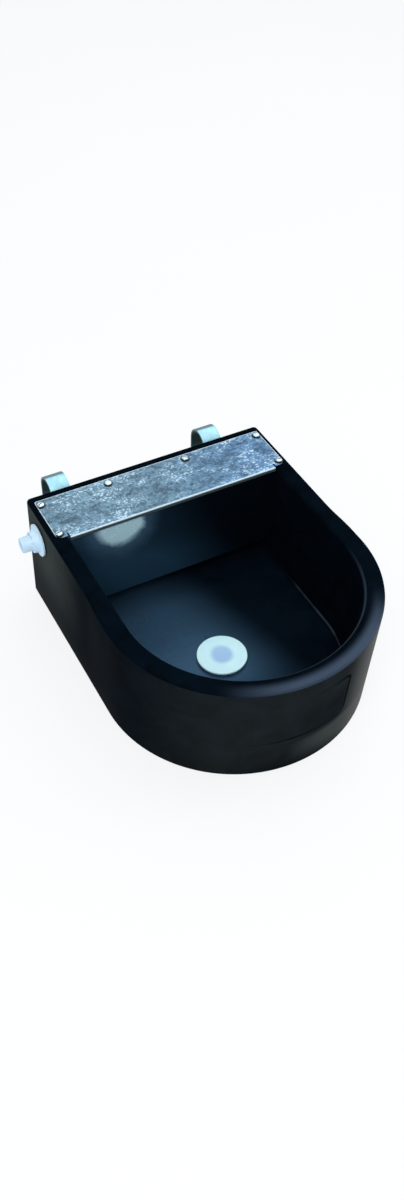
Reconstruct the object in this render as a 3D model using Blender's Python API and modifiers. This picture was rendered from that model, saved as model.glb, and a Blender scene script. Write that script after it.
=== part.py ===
"""Automatic horse waterer: a double-walled drinking bowl that hangs on a rail and is filled by a float valve.

Metres, +Z up. The origin is on the base plane, midway along the bowl, straight below the back edge
of the rim.
The round front of the bowl points to -Y, the hooks are behind it at +Y, and water comes in from the -X side.
"""

import math
from typing import NamedTuple

import bmesh
import bpy
from mathutils import Matrix, Vector

# Bowl moulding, outside
BODY_HEIGHT = 0.169
RIM_HALF_WIDTH = 0.1755
RIM_BULGE = 0.003
RIM_ROUND_CENTRE_Y = -0.268
BASE_FLARE = 0.0035
BASE_ROUND_SETBACK = 0.014
BASE_BACK_Y = 0.005
BACK_CORNER_RADIUS = 0.006
BULGE_START = 0.078
BULGE_END = 0.020
RIM_OUTER_EDGE = 0.004
FOOT_EDGE = 0.003

# Bowl moulding, inside
SKIN = 0.004
RIM_BREADTH = 0.0225
MOUTH_BACK_Y = -0.023
FLOOR_Z = 0.0147
WELL_TAPER = 0.005
FLOOR_ROUND_SETBACK = 0.009
FLOOR_BACK_Y = -0.024
INNER_CORNER_RADIUS = 0.012
RIM_INNER_EDGE = 0.006
FLOOR_FILLET = 0.010
VENT_RADIUS = 0.0025
VENT_Y = -0.060

# Bare raised panel on the front wall
LABEL_CENTRE_X = -0.006
LABEL_HALF_WIDTH = 0.064
LABEL_BELOW_RIM = 0.027
LABEL_TALL = 0.076
LABEL_CORNER = 0.010
LABEL_RELIEF = 0.0009

# Clearances
SEAT_GAP = 0.0003
RUNNING_GAP = 0.0004

# Cover plate
SHEET = 0.0015
PLATE_MARGIN = 0.007
PLATE_BACK_Y = -0.0141
PLATE_FRONT_Y = -0.098
PLATE_CORNER = 0.002
LIP_DEPTH = 0.006
LIP_BEND = 0.0018
LIP_END_GAP = 0.0015
LOBE_FRONT_Y = -0.0945
LOBE_CORNER = 0.009
NOTCH_WIDTH = 0.0022
NOTCH_DEPTH = 0.0045

# Cover screws and the inserts that they turn into
SCREW_FROM_EDGE = 0.0125
SCREW_BACK_Y = -0.024
SCREW_FRONT_Y = -0.0865
INNER_SCREW_LEFT_X = -0.066
INNER_SCREW_RIGHT_X = 0.050
SCREW_RADIUS = 0.0022
SCREW_LENGTH = 0.012
SCREW_HEAD_RADIUS = 0.0050
SCREW_HEAD_HEIGHT = 0.0030
SCREW_SLOT_WIDTH = 0.0012
SCREW_SLOT_DEPTH = 0.0013
INSERT_WALL = 0.0015
INSERT_LENGTH = 0.0100
INSERT_POST_WALL = 0.0034
INSERT_POST_FOOT = 0.0030
PILLAR_LENGTH = 0.036

# Baffle panel between bowl and float chamber
BAFFLE_THICKNESS = 0.004
FLOW_GAP = 0.0258
BAFFLE_GROOVE_DEPTH = 0.0020
BAFFLE_TOP_GAP = 0.0008

# Hooks over the rail
HOOK_LEFT_INSET = 0.052
HOOK_RIGHT_INSET = 0.067
HOOK_WIDTH = 0.028
HOOK_THICKNESS = 0.003
HOOK_RAIL_GAP = 0.038
HOOK_CROWN_BELOW_RIM = 0.022
HOOK_NEAR_LEG = 0.088
HOOK_FAR_LEG = 0.046
HOOK_TIP = 0.012
HOOK_TIP_FLARE = 0.004
HOOK_EDGE = 0.0004
HOOK_UPPER_BOLT = 0.069
HOOK_LOWER_BOLT = 0.097
BOLT_RADIUS = 0.0029
BOLT_HEAD_RADIUS = 0.0062
BOLT_HEAD_HEIGHT = 0.0032
BOLT_TAIL = 0.003
WASHER_RADIUS = 0.0075
WASHER_THICKNESS = 0.0012
NUT_ACROSS_CORNERS = 0.0115
NUT_HEIGHT = 0.005
BOLT_POST_RADIUS = 0.011
BOLT_SEAT_RADIUS = 0.0088
BACK_WALL_CLAMPED = 0.0245

# Water inlet and float valve; the axis runs along X
INLET_Y = -0.044
INLET_BELOW_RIM = 0.037
INLET_REACH = 0.0275
INLET_POST_RADIUS = 0.0225
INLET_SEAT_DEPTH = 0.0002
TAIL_ROOT_RADIUS = 0.0118
TAIL_END_RADIUS = 0.0105
TAIL_BORE = 0.0065
FLANGE_RADIUS = 0.0225
FLANGE_THICKNESS = 0.003
COLLAR_RADIUS = 0.0158
COLLAR_LENGTH = 0.0085
SEAL_THICKNESS = 0.0015
OUTER_SEAL_RADIUS = 0.0185
SHOULDER_RADIUS = 0.0170
SHOULDER_THICKNESS = 0.004
BARREL_RADIUS = 0.0120
BARREL_BORE = 0.0088
BARREL_LENGTH = 0.0525
NOZZLE_POCKET = 0.0165
NOZZLE_LENGTH = 0.0097
NOZZLE_LIP = 0.002
NOZZLE_LIP_RADIUS = 0.004
NOZZLE_ORIFICE = 0.002
NOZZLE_SEAL = 0.0009
STRAINER_DEPTH = 0.012
STRAINER_THICKNESS = 0.0015
STRAINER_HOLE = 0.0009
STRAINER_RING_HOLES = 6
STRAINER_RING = 0.6
TAIL_EASE = 0.0006
PLUNGER_OVERHANG = 0.008
PLUNGER_NOSE_RADIUS = 0.0035
PLUNGER_NOSE_LENGTH = 0.004
PLUNGER_SEAT_RADIUS = 0.0055
PLUNGER_SEAT_THICKNESS = 0.0025
OUTLET_LENGTH = 0.009
OUTLET_WIDTH = 0.010

# Float arm
ARM_DROOP = math.radians(18)
ARM_SWING = math.radians(20)
FINGER_LENGTH = 0.014
FINGER_TIP_RADIUS = 0.003
FINGER_THICKNESS = 0.0044
LEVER_HALF_WIDTH = 0.0042
HUB_RADIUS = 0.0045
EAR_THICKNESS = 0.003
EAR_END_RADIUS = 0.0055
EAR_LENGTH = 0.026
PIN_RADIUS = 0.0020
PIN_HEAD_RADIUS = 0.0036
PIN_HEAD_THICKNESS = 0.0015
CLIP_THICKNESS = 0.0010
SOCKET_RADIUS = 0.0050
SOCKET_START = 0.008
SOCKET_END = 0.028
ROD_RADIUS = 0.0025
ROD_START = 0.013
ROD_BEND_START = 0.036
ROD_BEND_END = 0.066
ROD_OFFSET_Y = -0.018
ROD_END = 0.2035
ROD_NUT_LENGTH = 0.004
FLOAT_CENTRE = 0.150
FLOAT_RADIUS = 0.024
FLOAT_LENGTH = 0.084
FLOAT_EDGE = 0.009
WING_SPAN = 0.018
WING_HEIGHT = 0.007
WING_THICKNESS = 0.002
WING_HUB_RADIUS = 0.0045
WING_HUB_LENGTH = 0.006

# Drain bung
DRAIN_X = -0.0098
DRAIN_SETBACK = 0.0204
DRAIN_RADIUS = 0.0168
DRAIN_TUBE_WALL = 0.006
BUNG_RADIUS = 0.034
BUNG_THICKNESS = 0.0032
BUNG_DISH_RADIUS = 0.016
BUNG_DISH_DEPTH = 0.0009
BUNG_SEAL_RADIUS = 0.0300
BUNG_SEAL_THICKNESS = 0.0018
STEM_RADIUS = 0.0152
STEM_CLEAR_OF_BASE = 0.002
GRIP_RING = 0.0015
GRIP_RING_Z = 0.0085

# Facets round a circle
ARC_STEPS = 36
CORNER_STEPS = 3
BULGE_STEPS = 6
LARGE_SIDES = 28
ROUND_SIDES = 20
SMALL_SIDES = 12

# Sizes that follow from the ones above
RIM_ROUND_RADIUS = RIM_HALF_WIDTH + RIM_BULGE
BASE_HALF_WIDTH = RIM_HALF_WIDTH + BASE_FLARE
BASE_ROUND_CENTRE_Y = RIM_ROUND_CENTRE_Y + BASE_ROUND_SETBACK
BULGE_START_Y = RIM_ROUND_CENTRE_Y + BULGE_START
BULGE_END_Y = RIM_ROUND_CENTRE_Y + BULGE_END
MOUTH_HALF_WIDTH = RIM_HALF_WIDTH - RIM_BREADTH
FLOOR_HALF_WIDTH = MOUTH_HALF_WIDTH - WELL_TAPER
FLOOR_ROUND_CENTRE_Y = RIM_ROUND_CENTRE_Y + FLOOR_ROUND_SETBACK
LABEL_HIGH_Z = BODY_HEIGHT - LABEL_BELOW_RIM
LABEL_LOW_Z = LABEL_HIGH_Z - LABEL_TALL
SCREW_RIM_X = RIM_HALF_WIDTH - SCREW_FROM_EDGE
INNER_SCREWS_X = (INNER_SCREW_LEFT_X, INNER_SCREW_RIGHT_X)
HOOKS_X = (HOOK_LEFT_INSET - RIM_HALF_WIDTH, RIM_HALF_WIDTH - HOOK_RIGHT_INSET)
HOOK_BOLTS_BELOW_RIM = (HOOK_UPPER_BOLT, HOOK_LOWER_BOLT)
BAFFLE_FOOT_Z = FLOOR_Z + FLOW_GAP
INLET_Z = BODY_HEIGHT - INLET_BELOW_RIM
DRAIN_Y = RIM_ROUND_CENTRE_Y + DRAIN_SETBACK
RIM_OUTER_AT_INLET = RIM_HALF_WIDTH + (BASE_HALF_WIDTH - RIM_HALF_WIDTH) * (
    1 - (INLET_Z + FLANGE_RADIUS) / BODY_HEIGHT
)
INLET_SEAT_X = -(RIM_OUTER_AT_INLET - INLET_SEAT_DEPTH)
PLATE_HALF_WIDTH = RIM_HALF_WIDTH - PLATE_MARGIN
LIP_HALF_WIDTH = MOUTH_HALF_WIDTH - LIP_END_GAP
PLATE_BOTTOM_Z = BODY_HEIGHT + SEAT_GAP
PLATE_TOP_Z = PLATE_BOTTOM_Z + SHEET
BAFFLE_FRONT_Y = PLATE_FRONT_Y + SHEET + SEAT_GAP
BACK_LEAN = math.atan2(BASE_BACK_Y, BODY_HEIGHT)
INSERT_RADIUS = SCREW_RADIUS + SEAT_GAP + INSERT_WALL
INSERT_HOLE = INSERT_RADIUS + SEAT_GAP
ARM_OPEN_TILT = ARM_SWING / 2


class Section(NamedTuple):
    """A D-shaped outline, seen from above: straight sides, a straight back and a round front."""

    half_width: float
    radius: float
    centre_y: float
    back_y: float
    corner: float


RIM_SECTION = Section(RIM_HALF_WIDTH, RIM_ROUND_RADIUS, RIM_ROUND_CENTRE_Y, 0.0, BACK_CORNER_RADIUS)
BASE_SECTION = Section(
    BASE_HALF_WIDTH, BASE_HALF_WIDTH, BASE_ROUND_CENTRE_Y, BASE_BACK_Y, BACK_CORNER_RADIUS
)
MOUTH_SECTION = Section(
    MOUTH_HALF_WIDTH, MOUTH_HALF_WIDTH, RIM_ROUND_CENTRE_Y, MOUTH_BACK_Y, INNER_CORNER_RADIUS
)
FLOOR_SECTION = Section(
    FLOOR_HALF_WIDTH, FLOOR_HALF_WIDTH, FLOOR_ROUND_CENTRE_Y, FLOOR_BACK_Y, INNER_CORNER_RADIUS
)


def blend(low, high, share):
    """The section that lies this share of the way from low to high."""
    return Section(*(a + (b - a) * share for a, b in zip(low, high)))


def outside_at(z):
    return blend(BASE_SECTION, RIM_SECTION, z / BODY_HEIGHT)


def inside_at(z):
    return blend(FLOOR_SECTION, MOUTH_SECTION, (z - FLOOR_Z) / (BODY_HEIGHT - FLOOR_Z))


def arc(centre, radius, start, end, steps):
    """Points on an arc, both ends included, with the angles in degrees."""
    angles = [math.radians(start + (end - start) * i / steps) for i in range(steps + 1)]
    return [(centre[0] + radius * math.cos(a), centre[1] + radius * math.sin(a)) for a in angles]


def outline(section, inset, z):
    """Points once round a section that is moved in by inset, from the middle of the back by way of +X."""
    half_width = section.half_width - inset
    radius = section.radius - inset
    back = section.back_y - inset
    corner = section.corner - min(inset, section.corner / 2)
    right = arc((half_width - corner, back - corner), corner, 90, 0, CORNER_STEPS)
    for step in range(BULGE_STEPS + 1):
        share = step / BULGE_STEPS
        swell = (1 - math.cos(math.pi * share)) / 2
        y = BULGE_START_Y + (BULGE_END_Y - BULGE_START_Y) * share
        right.append((half_width + (radius - half_width) * swell, y))
    right += arc((0, section.centre_y), radius, 0, -90, ARC_STEPS // 2)
    left = [(-x, y) for x, y in reversed(right[:-1])]
    return [Vector((x, y, z)) for x, y in right + left]


def collection(name):
    group = bpy.data.collections.new(name)
    bpy.context.scene.collection.children.link(group)
    return group


def finish(name, color, roughness, metallic=0.0):
    """A material with one plain Principled surface."""
    material = bpy.data.materials.new(name)
    material.use_nodes = True
    surface = material.node_tree.nodes["Principled BSDF"]
    surface.inputs["Base Color"].default_value = (*color, 1)
    surface.inputs["Roughness"].default_value = roughness
    surface.inputs["Metallic"].default_value = metallic
    material.diffuse_color = (*color, 1)
    return material


def remove_old_objects():
    for obj in list(bpy.data.objects):
        bpy.data.objects.remove(obj, do_unlink=True)


remove_old_objects()
PARTS = collection("automatic_horse_waterer")
CUTTERS = collection("cutters")
BLACK_PLASTIC = finish("black_moulded_plastic", (0.012, 0.015, 0.019), 0.42)
ZINC_SHEET = finish("galvanised_sheet", (0.42, 0.50, 0.56), 0.38, 0.9)
ZINC_STRIP = finish("galvanised_strip", (0.50, 0.57, 0.58), 0.45, 0.85)
BRIGHT_ZINC = finish("zinc_plated_fastener", (0.62, 0.65, 0.66), 0.30, 1.0)
BRASS = finish("brass", (0.72, 0.52, 0.22), 0.32, 1.0)
WHITE_PLASTIC = finish("white_moulded_plastic", (0.80, 0.84, 0.85), 0.38)
RUBBER = finish("black_rubber", (0.02, 0.02, 0.02), 0.8)
FLOAT_PLASTIC = finish("float_plastic", (0.55, 0.10, 0.04), 0.45)


def add(name, mesh, material, place=None, parent=None):
    """Puts a part in the scene."""
    obj = bpy.data.objects.new(name, mesh)
    if not mesh.materials:
        mesh.materials.append(material)
    PARTS.objects.link(obj)
    if place is not None:
        obj.matrix_world = place
    if parent is not None:
        obj.parent = parent
    return obj


def add_cutter(name, mesh, place=None, parent=None):
    """Puts a helper in the scene that only shapes parts."""
    obj = bpy.data.objects.new(name, mesh)
    CUTTERS.objects.link(obj)
    obj.display_type = "WIRE"
    obj.hide_render = True
    if place is not None:
        obj.matrix_world = place
    if parent is not None:
        obj.parent = parent
    return obj


def add_axis(name, place):
    """An empty that carries the pieces of one joint or one sloping face."""
    axis = bpy.data.objects.new(name, None)
    axis.empty_display_size = 0.02
    PARTS.objects.link(axis)
    axis.matrix_world = place
    return axis


def boolean(obj, operation, other):
    modifier = obj.modifiers.new(f"{operation.lower()}_{other.name}", "BOOLEAN")
    modifier.operation = operation
    modifier.solver = "EXACT"
    modifier.object = other
    return modifier


def bevel(obj, width, segments=1, angle=40):
    modifier = obj.modifiers.new("edges", "BEVEL")
    modifier.width = width
    modifier.segments = segments
    modifier.limit_method = "ANGLE"
    modifier.angle_limit = math.radians(angle)
    return modifier


def mesh_from(build_in, name):
    """A closed mesh that build_in fills, with its faces turned outwards and round edges smooth."""
    mesh = bpy.data.meshes.new(name)
    shape = bmesh.new()
    build_in(shape)
    bmesh.ops.recalc_face_normals(shape, faces=shape.faces)
    shape.to_mesh(mesh)
    shape.free()
    mesh.shade_smooth()
    mesh.set_sharp_from_angle(angle=math.radians(35))
    return mesh


def box_mesh(name, low, high):
    low, high = Vector(low), Vector(high)
    place = Matrix.Translation((low + high) / 2) @ Matrix.Diagonal((*(high - low), 1))
    return mesh_from(lambda shape: bmesh.ops.create_cube(shape, size=1, matrix=place), name)


def cylinder_into(shape, start, end, radius, sides, end_radius=None):
    """Adds a round bar, or a cone where end_radius is given, from one point to another."""
    start, end = Vector(start), Vector(end)
    along = end - start
    turn = Vector((0, 0, 1)).rotation_difference(along).to_matrix().to_4x4()
    bmesh.ops.create_cone(
        shape,
        cap_ends=True,
        segments=sides,
        radius1=radius,
        radius2=radius if end_radius is None else end_radius,
        depth=along.length,
        matrix=Matrix.Translation((start + end) / 2) @ turn,
    )


def bars_mesh(name, bars, sides):
    """Round bars that don't touch each other, each given as start, end and radius."""

    def build_in(shape):
        for start, end, radius in bars:
            cylinder_into(shape, start, end, radius, sides)

    return mesh_from(build_in, name)


def profile_mesh(name, points, closed):
    """The outline of a turned piece: points are (radius, height), down its outer side."""
    mesh = bpy.data.meshes.new(name)
    count = len(points)
    edges = [(i, i + 1) for i in range(count - 1)]
    if closed:
        edges.append((count - 1, 0))
    mesh.from_pydata([(radius, 0, height) for radius, height in points], edges, [])
    return mesh


def turn(obj, sides):
    """Turns the object's outline into a solid about its own Z axis."""
    modifier = obj.modifiers.new("turned", "SCREW")
    modifier.axis = "Z"
    modifier.steps = sides
    modifier.render_steps = sides
    modifier.use_merge_vertices = True
    modifier.merge_threshold = 0.00001
    modifier.use_smooth_shade = True
    return obj


def turned(name, points, material, place=None, parent=None, sides=ROUND_SIDES, closed=False):
    return turn(add(name, profile_mesh(name, points, closed), material, place, parent), sides)


def turned_cutter(name, points, place=None, parent=None, sides=ROUND_SIDES, closed=False):
    return turn(add_cutter(name, profile_mesh(name, points, closed), place, parent), sides)


def ring_points(inner, outer, low, high):
    """The outline of a flat ring."""
    return [(outer, high), (outer, low), (inner, low), (inner, high)]


def baked(obj):
    """The object's shape with its modifiers worked in, as a mesh that copies can share."""
    graph = bpy.context.evaluated_depsgraph_get()
    mesh = bpy.data.meshes.new_from_object(obj.evaluated_get(graph))
    mesh.name = obj.name
    bpy.data.objects.remove(obj)
    return mesh


def outline_curve(name, outlines, thickness):
    """Flat closed outlines as one filled curve; the ones inside the first are holes."""
    curve = bpy.data.curves.new(name, "CURVE")
    curve.dimensions = "2D"
    curve.fill_mode = "BOTH"
    curve.extrude = thickness / 2
    for points in outlines:
        spline = curve.splines.new("POLY")
        spline.points.add(len(points) - 1)
        for point, (x, y) in zip(spline.points, points):
            point.co = (x, y, 0, 1)
        spline.use_cyclic_u = True
    return curve


def flat_mesh(name, outlines, thickness):
    """A plate of this thickness, centred on its own XY plane."""
    curve = outline_curve(name, outlines, thickness)
    holder = bpy.data.objects.new(name, curve)
    CUTTERS.objects.link(holder)
    mesh = baked(holder)
    bpy.data.curves.remove(curve)
    shape = bmesh.new()
    shape.from_mesh(mesh)
    bmesh.ops.remove_doubles(shape, verts=shape.verts, dist=0.00001)
    bmesh.ops.recalc_face_normals(shape, faces=shape.faces)
    shape.to_mesh(mesh)
    shape.free()
    return mesh


def loft_into(shape, rings):
    """Skins one ring of points to the next, and closes the first and the last."""
    loops = [[shape.verts.new(point) for point in ring] for ring in rings]
    for lower, upper in zip(loops, loops[1:]):
        for i in range(len(lower)):
            after = (i + 1) % len(lower)
            shape.faces.new((lower[i], lower[after], upper[after], upper[i]))
    shape.faces.new(reversed(loops[0]))
    shape.faces.new(loops[-1])


def quarter(steps):
    """Angles from 0 to 90 degrees, in radians."""
    return [math.pi / 2 * i / steps for i in range(steps + 1)]


def bowl_rings():
    """Up the outside, over the rim and down inside to the floor."""
    rings = []
    for a in reversed(quarter(2)):
        z = FOOT_EDGE * (1 - math.sin(a))
        rings.append(outline(outside_at(z), FOOT_EDGE * (1 - math.cos(a)), z))
    for a in quarter(3):
        z = BODY_HEIGHT - RIM_OUTER_EDGE * (1 - math.sin(a))
        rings.append(outline(outside_at(z), RIM_OUTER_EDGE * (1 - math.cos(a)), z))
    for a in reversed(quarter(3)):
        z = BODY_HEIGHT - RIM_INNER_EDGE * (1 - math.sin(a))
        rings.append(outline(inside_at(z), -RIM_INNER_EDGE * (1 - math.cos(a)), z))
    for a in quarter(3):
        z = FLOOR_Z + FLOOR_FILLET * (1 - math.sin(a))
        rings.append(outline(inside_at(z), FLOOR_FILLET * (1 - math.cos(a)), z))
    return rings


def hollow_rings():
    """The space between the two skins."""
    low, high = SKIN, BODY_HEIGHT - SKIN
    under_floor = FLOOR_Z - SKIN
    return [
        outline(outside_at(low), SKIN, low),
        outline(outside_at(high), SKIN, high),
        outline(inside_at(high), -SKIN, high),
        outline(inside_at(under_floor), -SKIN, under_floor),
    ]


def screw_places():
    """Where the cover screws stand: the back row from left to right, then the two at the front."""
    back = [-SCREW_RIM_X, *INNER_SCREWS_X, SCREW_RIM_X]
    return [(x, SCREW_BACK_Y) for x in back] + [(x, SCREW_FRONT_Y) for x in (-SCREW_RIM_X, SCREW_RIM_X)]


SCREW_NAMES = ["back_1", "back_2", "back_3", "back_4", "front_left", "front_right"]
HOOK_SIDES = ("left", "right")

WALL_AXIS = add_axis(
    "back_wall_plane", Matrix.Translation((0, 0, BODY_HEIGHT)) @ Matrix.Rotation(BACK_LEAN, 4, "X")
)
OUTWARD = Matrix.Rotation(math.radians(-90), 4, "X")
ALONG_X = Matrix.Rotation(math.radians(90), 4, "Y")


def inlet_place(x):
    """A turned piece stands on the inlet's axis, its own Z pointing to +X."""
    return Matrix.Translation((x, INLET_Y, INLET_Z)) @ ALONG_X


def hook_bolt_places():
    """Bolt places in the back wall's own plane, as (side, number, x, z)."""
    return [
        (side, number + 1, x, -below)
        for side, x in zip(HOOK_SIDES, HOOKS_X)
        for number, below in enumerate(HOOK_BOLTS_BELOW_RIM)
    ]


def inner_seat_x():
    """The plane on the chamber's left wall that the valve's inner seal lies on."""
    section = inside_at(INLET_Z + SHOULDER_RADIUS)
    return -(section.half_width - INLET_SEAT_DEPTH)


def posts(hollow):
    """Solid posts that cross the hollow wall where something passes through it or is screwed into it."""
    post_radius = INSERT_HOLE + INSERT_POST_WALL
    post_low = BODY_HEIGHT - INSERT_LENGTH - SEAT_GAP - INSERT_POST_FOOT
    above = BODY_HEIGHT + SKIN
    bars = [((x, y, post_low), (x, y, above), post_radius) for x, y in screw_places()]
    bars.append(
        (
            (DRAIN_X, DRAIN_Y, -SKIN),
            (DRAIN_X, DRAIN_Y, FLOOR_Z + SKIN),
            DRAIN_RADIUS + DRAIN_TUBE_WALL,
        )
    )
    boolean(hollow, "DIFFERENCE", add_cutter("upright_posts", bars_mesh("upright_posts", bars, SMALL_SIDES)))
    wall = abs(INLET_SEAT_X) - abs(inner_seat_x())
    side = [
        (
            (INLET_SEAT_X - SKIN, INLET_Y, INLET_Z),
            (INLET_SEAT_X + wall + SKIN, INLET_Y, INLET_Z),
            INLET_POST_RADIUS,
        )
    ]
    boolean(hollow, "DIFFERENCE", add_cutter("inlet_post", bars_mesh("inlet_post", side, ROUND_SIDES)))
    back = [
        ((x, SKIN, z), (x, -BACK_WALL_CLAMPED - 2 * SKIN, z), BOLT_POST_RADIUS)
        for _, _, x, z in hook_bolt_places()
    ]
    boolean(
        hollow,
        "DIFFERENCE",
        add_cutter("hook_posts", bars_mesh("hook_posts", back, SMALL_SIDES), parent=WALL_AXIS),
    )


def screw_pillars(body):
    """Half-round pillars on the inside of the back wall, under the two inner screws of the back row."""
    radius = INSERT_HOLE + INSERT_POST_WALL
    low, high = BODY_HEIGHT - PILLAR_LENGTH, BODY_HEIGHT - SEAT_GAP
    bars = [((x, SCREW_BACK_Y, low), (x, SCREW_BACK_Y, high), radius) for x in INNER_SCREWS_X]
    boolean(body, "UNION", add_cutter("screw_pillars", bars_mesh("screw_pillars", bars, ROUND_SIDES)))


def rounded_rectangle(low, high, corner, steps=CORNER_STEPS):
    (x0, y0), (x1, y1) = low, high
    return (
        arc((x1 - corner, y1 - corner), corner, 0, 90, steps)
        + arc((x0 + corner, y1 - corner), corner, 90, 180, steps)
        + arc((x0 + corner, y0 + corner), corner, 180, 270, steps)
        + arc((x1 - corner, y0 + corner), corner, 270, 360, steps)
    )


def label_panel(body):
    """A bare raised panel with round corners that follows the front wall."""
    front = min(RIM_ROUND_CENTRE_Y - RIM_ROUND_RADIUS, BASE_ROUND_CENTRE_Y - BASE_HALF_WIDTH) - SKIN
    back = RIM_ROUND_CENTRE_Y - MOUTH_HALF_WIDTH + SKIN
    edge = rounded_rectangle(
        (LABEL_CENTRE_X - LABEL_HALF_WIDTH, LABEL_LOW_Z),
        (LABEL_CENTRE_X + LABEL_HALF_WIDTH, LABEL_HIGH_Z),
        LABEL_CORNER,
    )
    prism = flat_mesh("label_outline", [edge], back - front)
    upright = Matrix.Translation((0, (front + back) / 2, 0)) @ Matrix.Rotation(math.radians(90), 4, "X")
    panel = add_cutter("label_panel", prism, upright)
    swollen = [outline(outside_at(z), -LABEL_RELIEF, z) for z in (LABEL_LOW_Z - SKIN, LABEL_HIGH_Z + SKIN)]
    limit = add_cutter("label_limit", mesh_from(lambda shape: loft_into(shape, swollen), "label_limit"))
    boolean(panel, "INTERSECT", limit)
    boolean(body, "UNION", panel)


def bowl_holes(body):
    """Holes for the inserts, the drain, the vent, the inlet and the hook bolts."""
    hole_low = BODY_HEIGHT - INSERT_LENGTH - SEAT_GAP
    above = BODY_HEIGHT + SKIN
    bars = [((x, y, hole_low), (x, y, above), INSERT_HOLE) for x, y in screw_places()]
    bars.append(((0, VENT_Y, -SKIN), (0, VENT_Y, SKIN + SKIN / 2), VENT_RADIUS))
    boolean(body, "DIFFERENCE", add_cutter("insert_holes", bars_mesh("insert_holes", bars, SMALL_SIDES)))
    drain = [((DRAIN_X, DRAIN_Y, -SKIN), (DRAIN_X, DRAIN_Y, FLOOR_Z + SKIN), DRAIN_RADIUS)]
    boolean(body, "DIFFERENCE", add_cutter("drain_hole", bars_mesh("drain_hole", drain, LARGE_SIDES)))
    bolts = [
        ((x, SKIN, z), (x, -BACK_WALL_CLAMPED - SKIN, z), BOLT_RADIUS + SEAT_GAP)
        for _, _, x, z in hook_bolt_places()
    ]
    seats = [
        ((x, -BACK_WALL_CLAMPED, z), (x, -BACK_WALL_CLAMPED - 2 * SKIN, z), BOLT_SEAT_RADIUS)
        for _, _, x, z in hook_bolt_places()
    ]
    for name, bars in (("bolt_holes", bolts), ("bolt_seats", seats)):
        mesh = bars_mesh(name, bars, SMALL_SIDES)
        boolean(body, "DIFFERENCE", add_cutter(name, mesh, parent=WALL_AXIS))
    seat = inner_seat_x()
    through = [
        (
            (INLET_SEAT_X - SKIN, INLET_Y, INLET_Z),
            (seat + SKIN, INLET_Y, INLET_Z),
            TAIL_ROOT_RADIUS + SEAT_GAP,
        )
    ]
    faces = [
        (
            (INLET_SEAT_X, INLET_Y, INLET_Z),
            (INLET_SEAT_X - 2 * SKIN, INLET_Y, INLET_Z),
            FLANGE_RADIUS + SEAT_GAP,
        ),
        ((seat, INLET_Y, INLET_Z), (seat + 2 * SKIN, INLET_Y, INLET_Z), SHOULDER_RADIUS + SEAT_GAP),
    ]
    for name, bars in (("inlet_hole", through), ("inlet_seats", faces)):
        boolean(body, "DIFFERENCE", add_cutter(name, bars_mesh(name, bars, LARGE_SIDES)))


def baffle_outline(grow, foot, top):
    """A panel that follows the taper of the side walls; grow is how far it stands into each wall."""
    low = inside_at(foot).half_width + grow
    high = inside_at(top).half_width + grow
    return [(low, foot), (high, top), (-high, top), (-low, foot)]


def upright_at(y):
    """Stands a flat XY plate up in the XZ plane."""
    return Matrix.Translation((0, y, 0)) @ Matrix.Rotation(math.radians(90), 4, "X")


def baffle_grooves(body):
    """Grooves in the side walls that the baffle slides down."""
    centre = BAFFLE_FRONT_Y + BAFFLE_THICKNESS / 2
    edge = baffle_outline(BAFFLE_GROOVE_DEPTH, BAFFLE_FOOT_Z - SEAT_GAP, BODY_HEIGHT + SKIN / 2)
    mesh = flat_mesh("baffle_grooves", [edge], BAFFLE_THICKNESS + 2 * SEAT_GAP)
    boolean(body, "DIFFERENCE", add_cutter("baffle_grooves", mesh, upright_at(centre)))


def bowl():
    shell = mesh_from(lambda shape: loft_into(shape, bowl_rings()), "bowl_body")
    body = add("bowl_body", shell, BLACK_PLASTIC)
    hollow = add_cutter("hollow", mesh_from(lambda shape: loft_into(shape, hollow_rings()), "hollow"))
    posts(hollow)
    screw_pillars(body)
    label_panel(body)
    boolean(body, "DIFFERENCE", hollow)
    bowl_holes(body)
    baffle_grooves(body)


def plate_edge():
    """The cover plate's outline seen from above: lobes at the front corners, and a lip between them."""
    lobe_inner = LIP_HALF_WIDTH + NOTCH_WIDTH
    bend_y = PLATE_FRONT_Y + LIP_BEND
    right = arc((PLATE_HALF_WIDTH - PLATE_CORNER, PLATE_BACK_Y - PLATE_CORNER), PLATE_CORNER, 90, 0, 2)
    right += arc((PLATE_HALF_WIDTH - LOBE_CORNER, LOBE_FRONT_Y + LOBE_CORNER), LOBE_CORNER, 0, -90, 6)
    right += [
        (lobe_inner, LOBE_FRONT_Y),
        (lobe_inner, LOBE_FRONT_Y + NOTCH_DEPTH),
        (LIP_HALF_WIDTH, LOBE_FRONT_Y + NOTCH_DEPTH),
        (LIP_HALF_WIDTH, bend_y),
    ]
    return right + [(-x, y) for x, y in reversed(right)]


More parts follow.
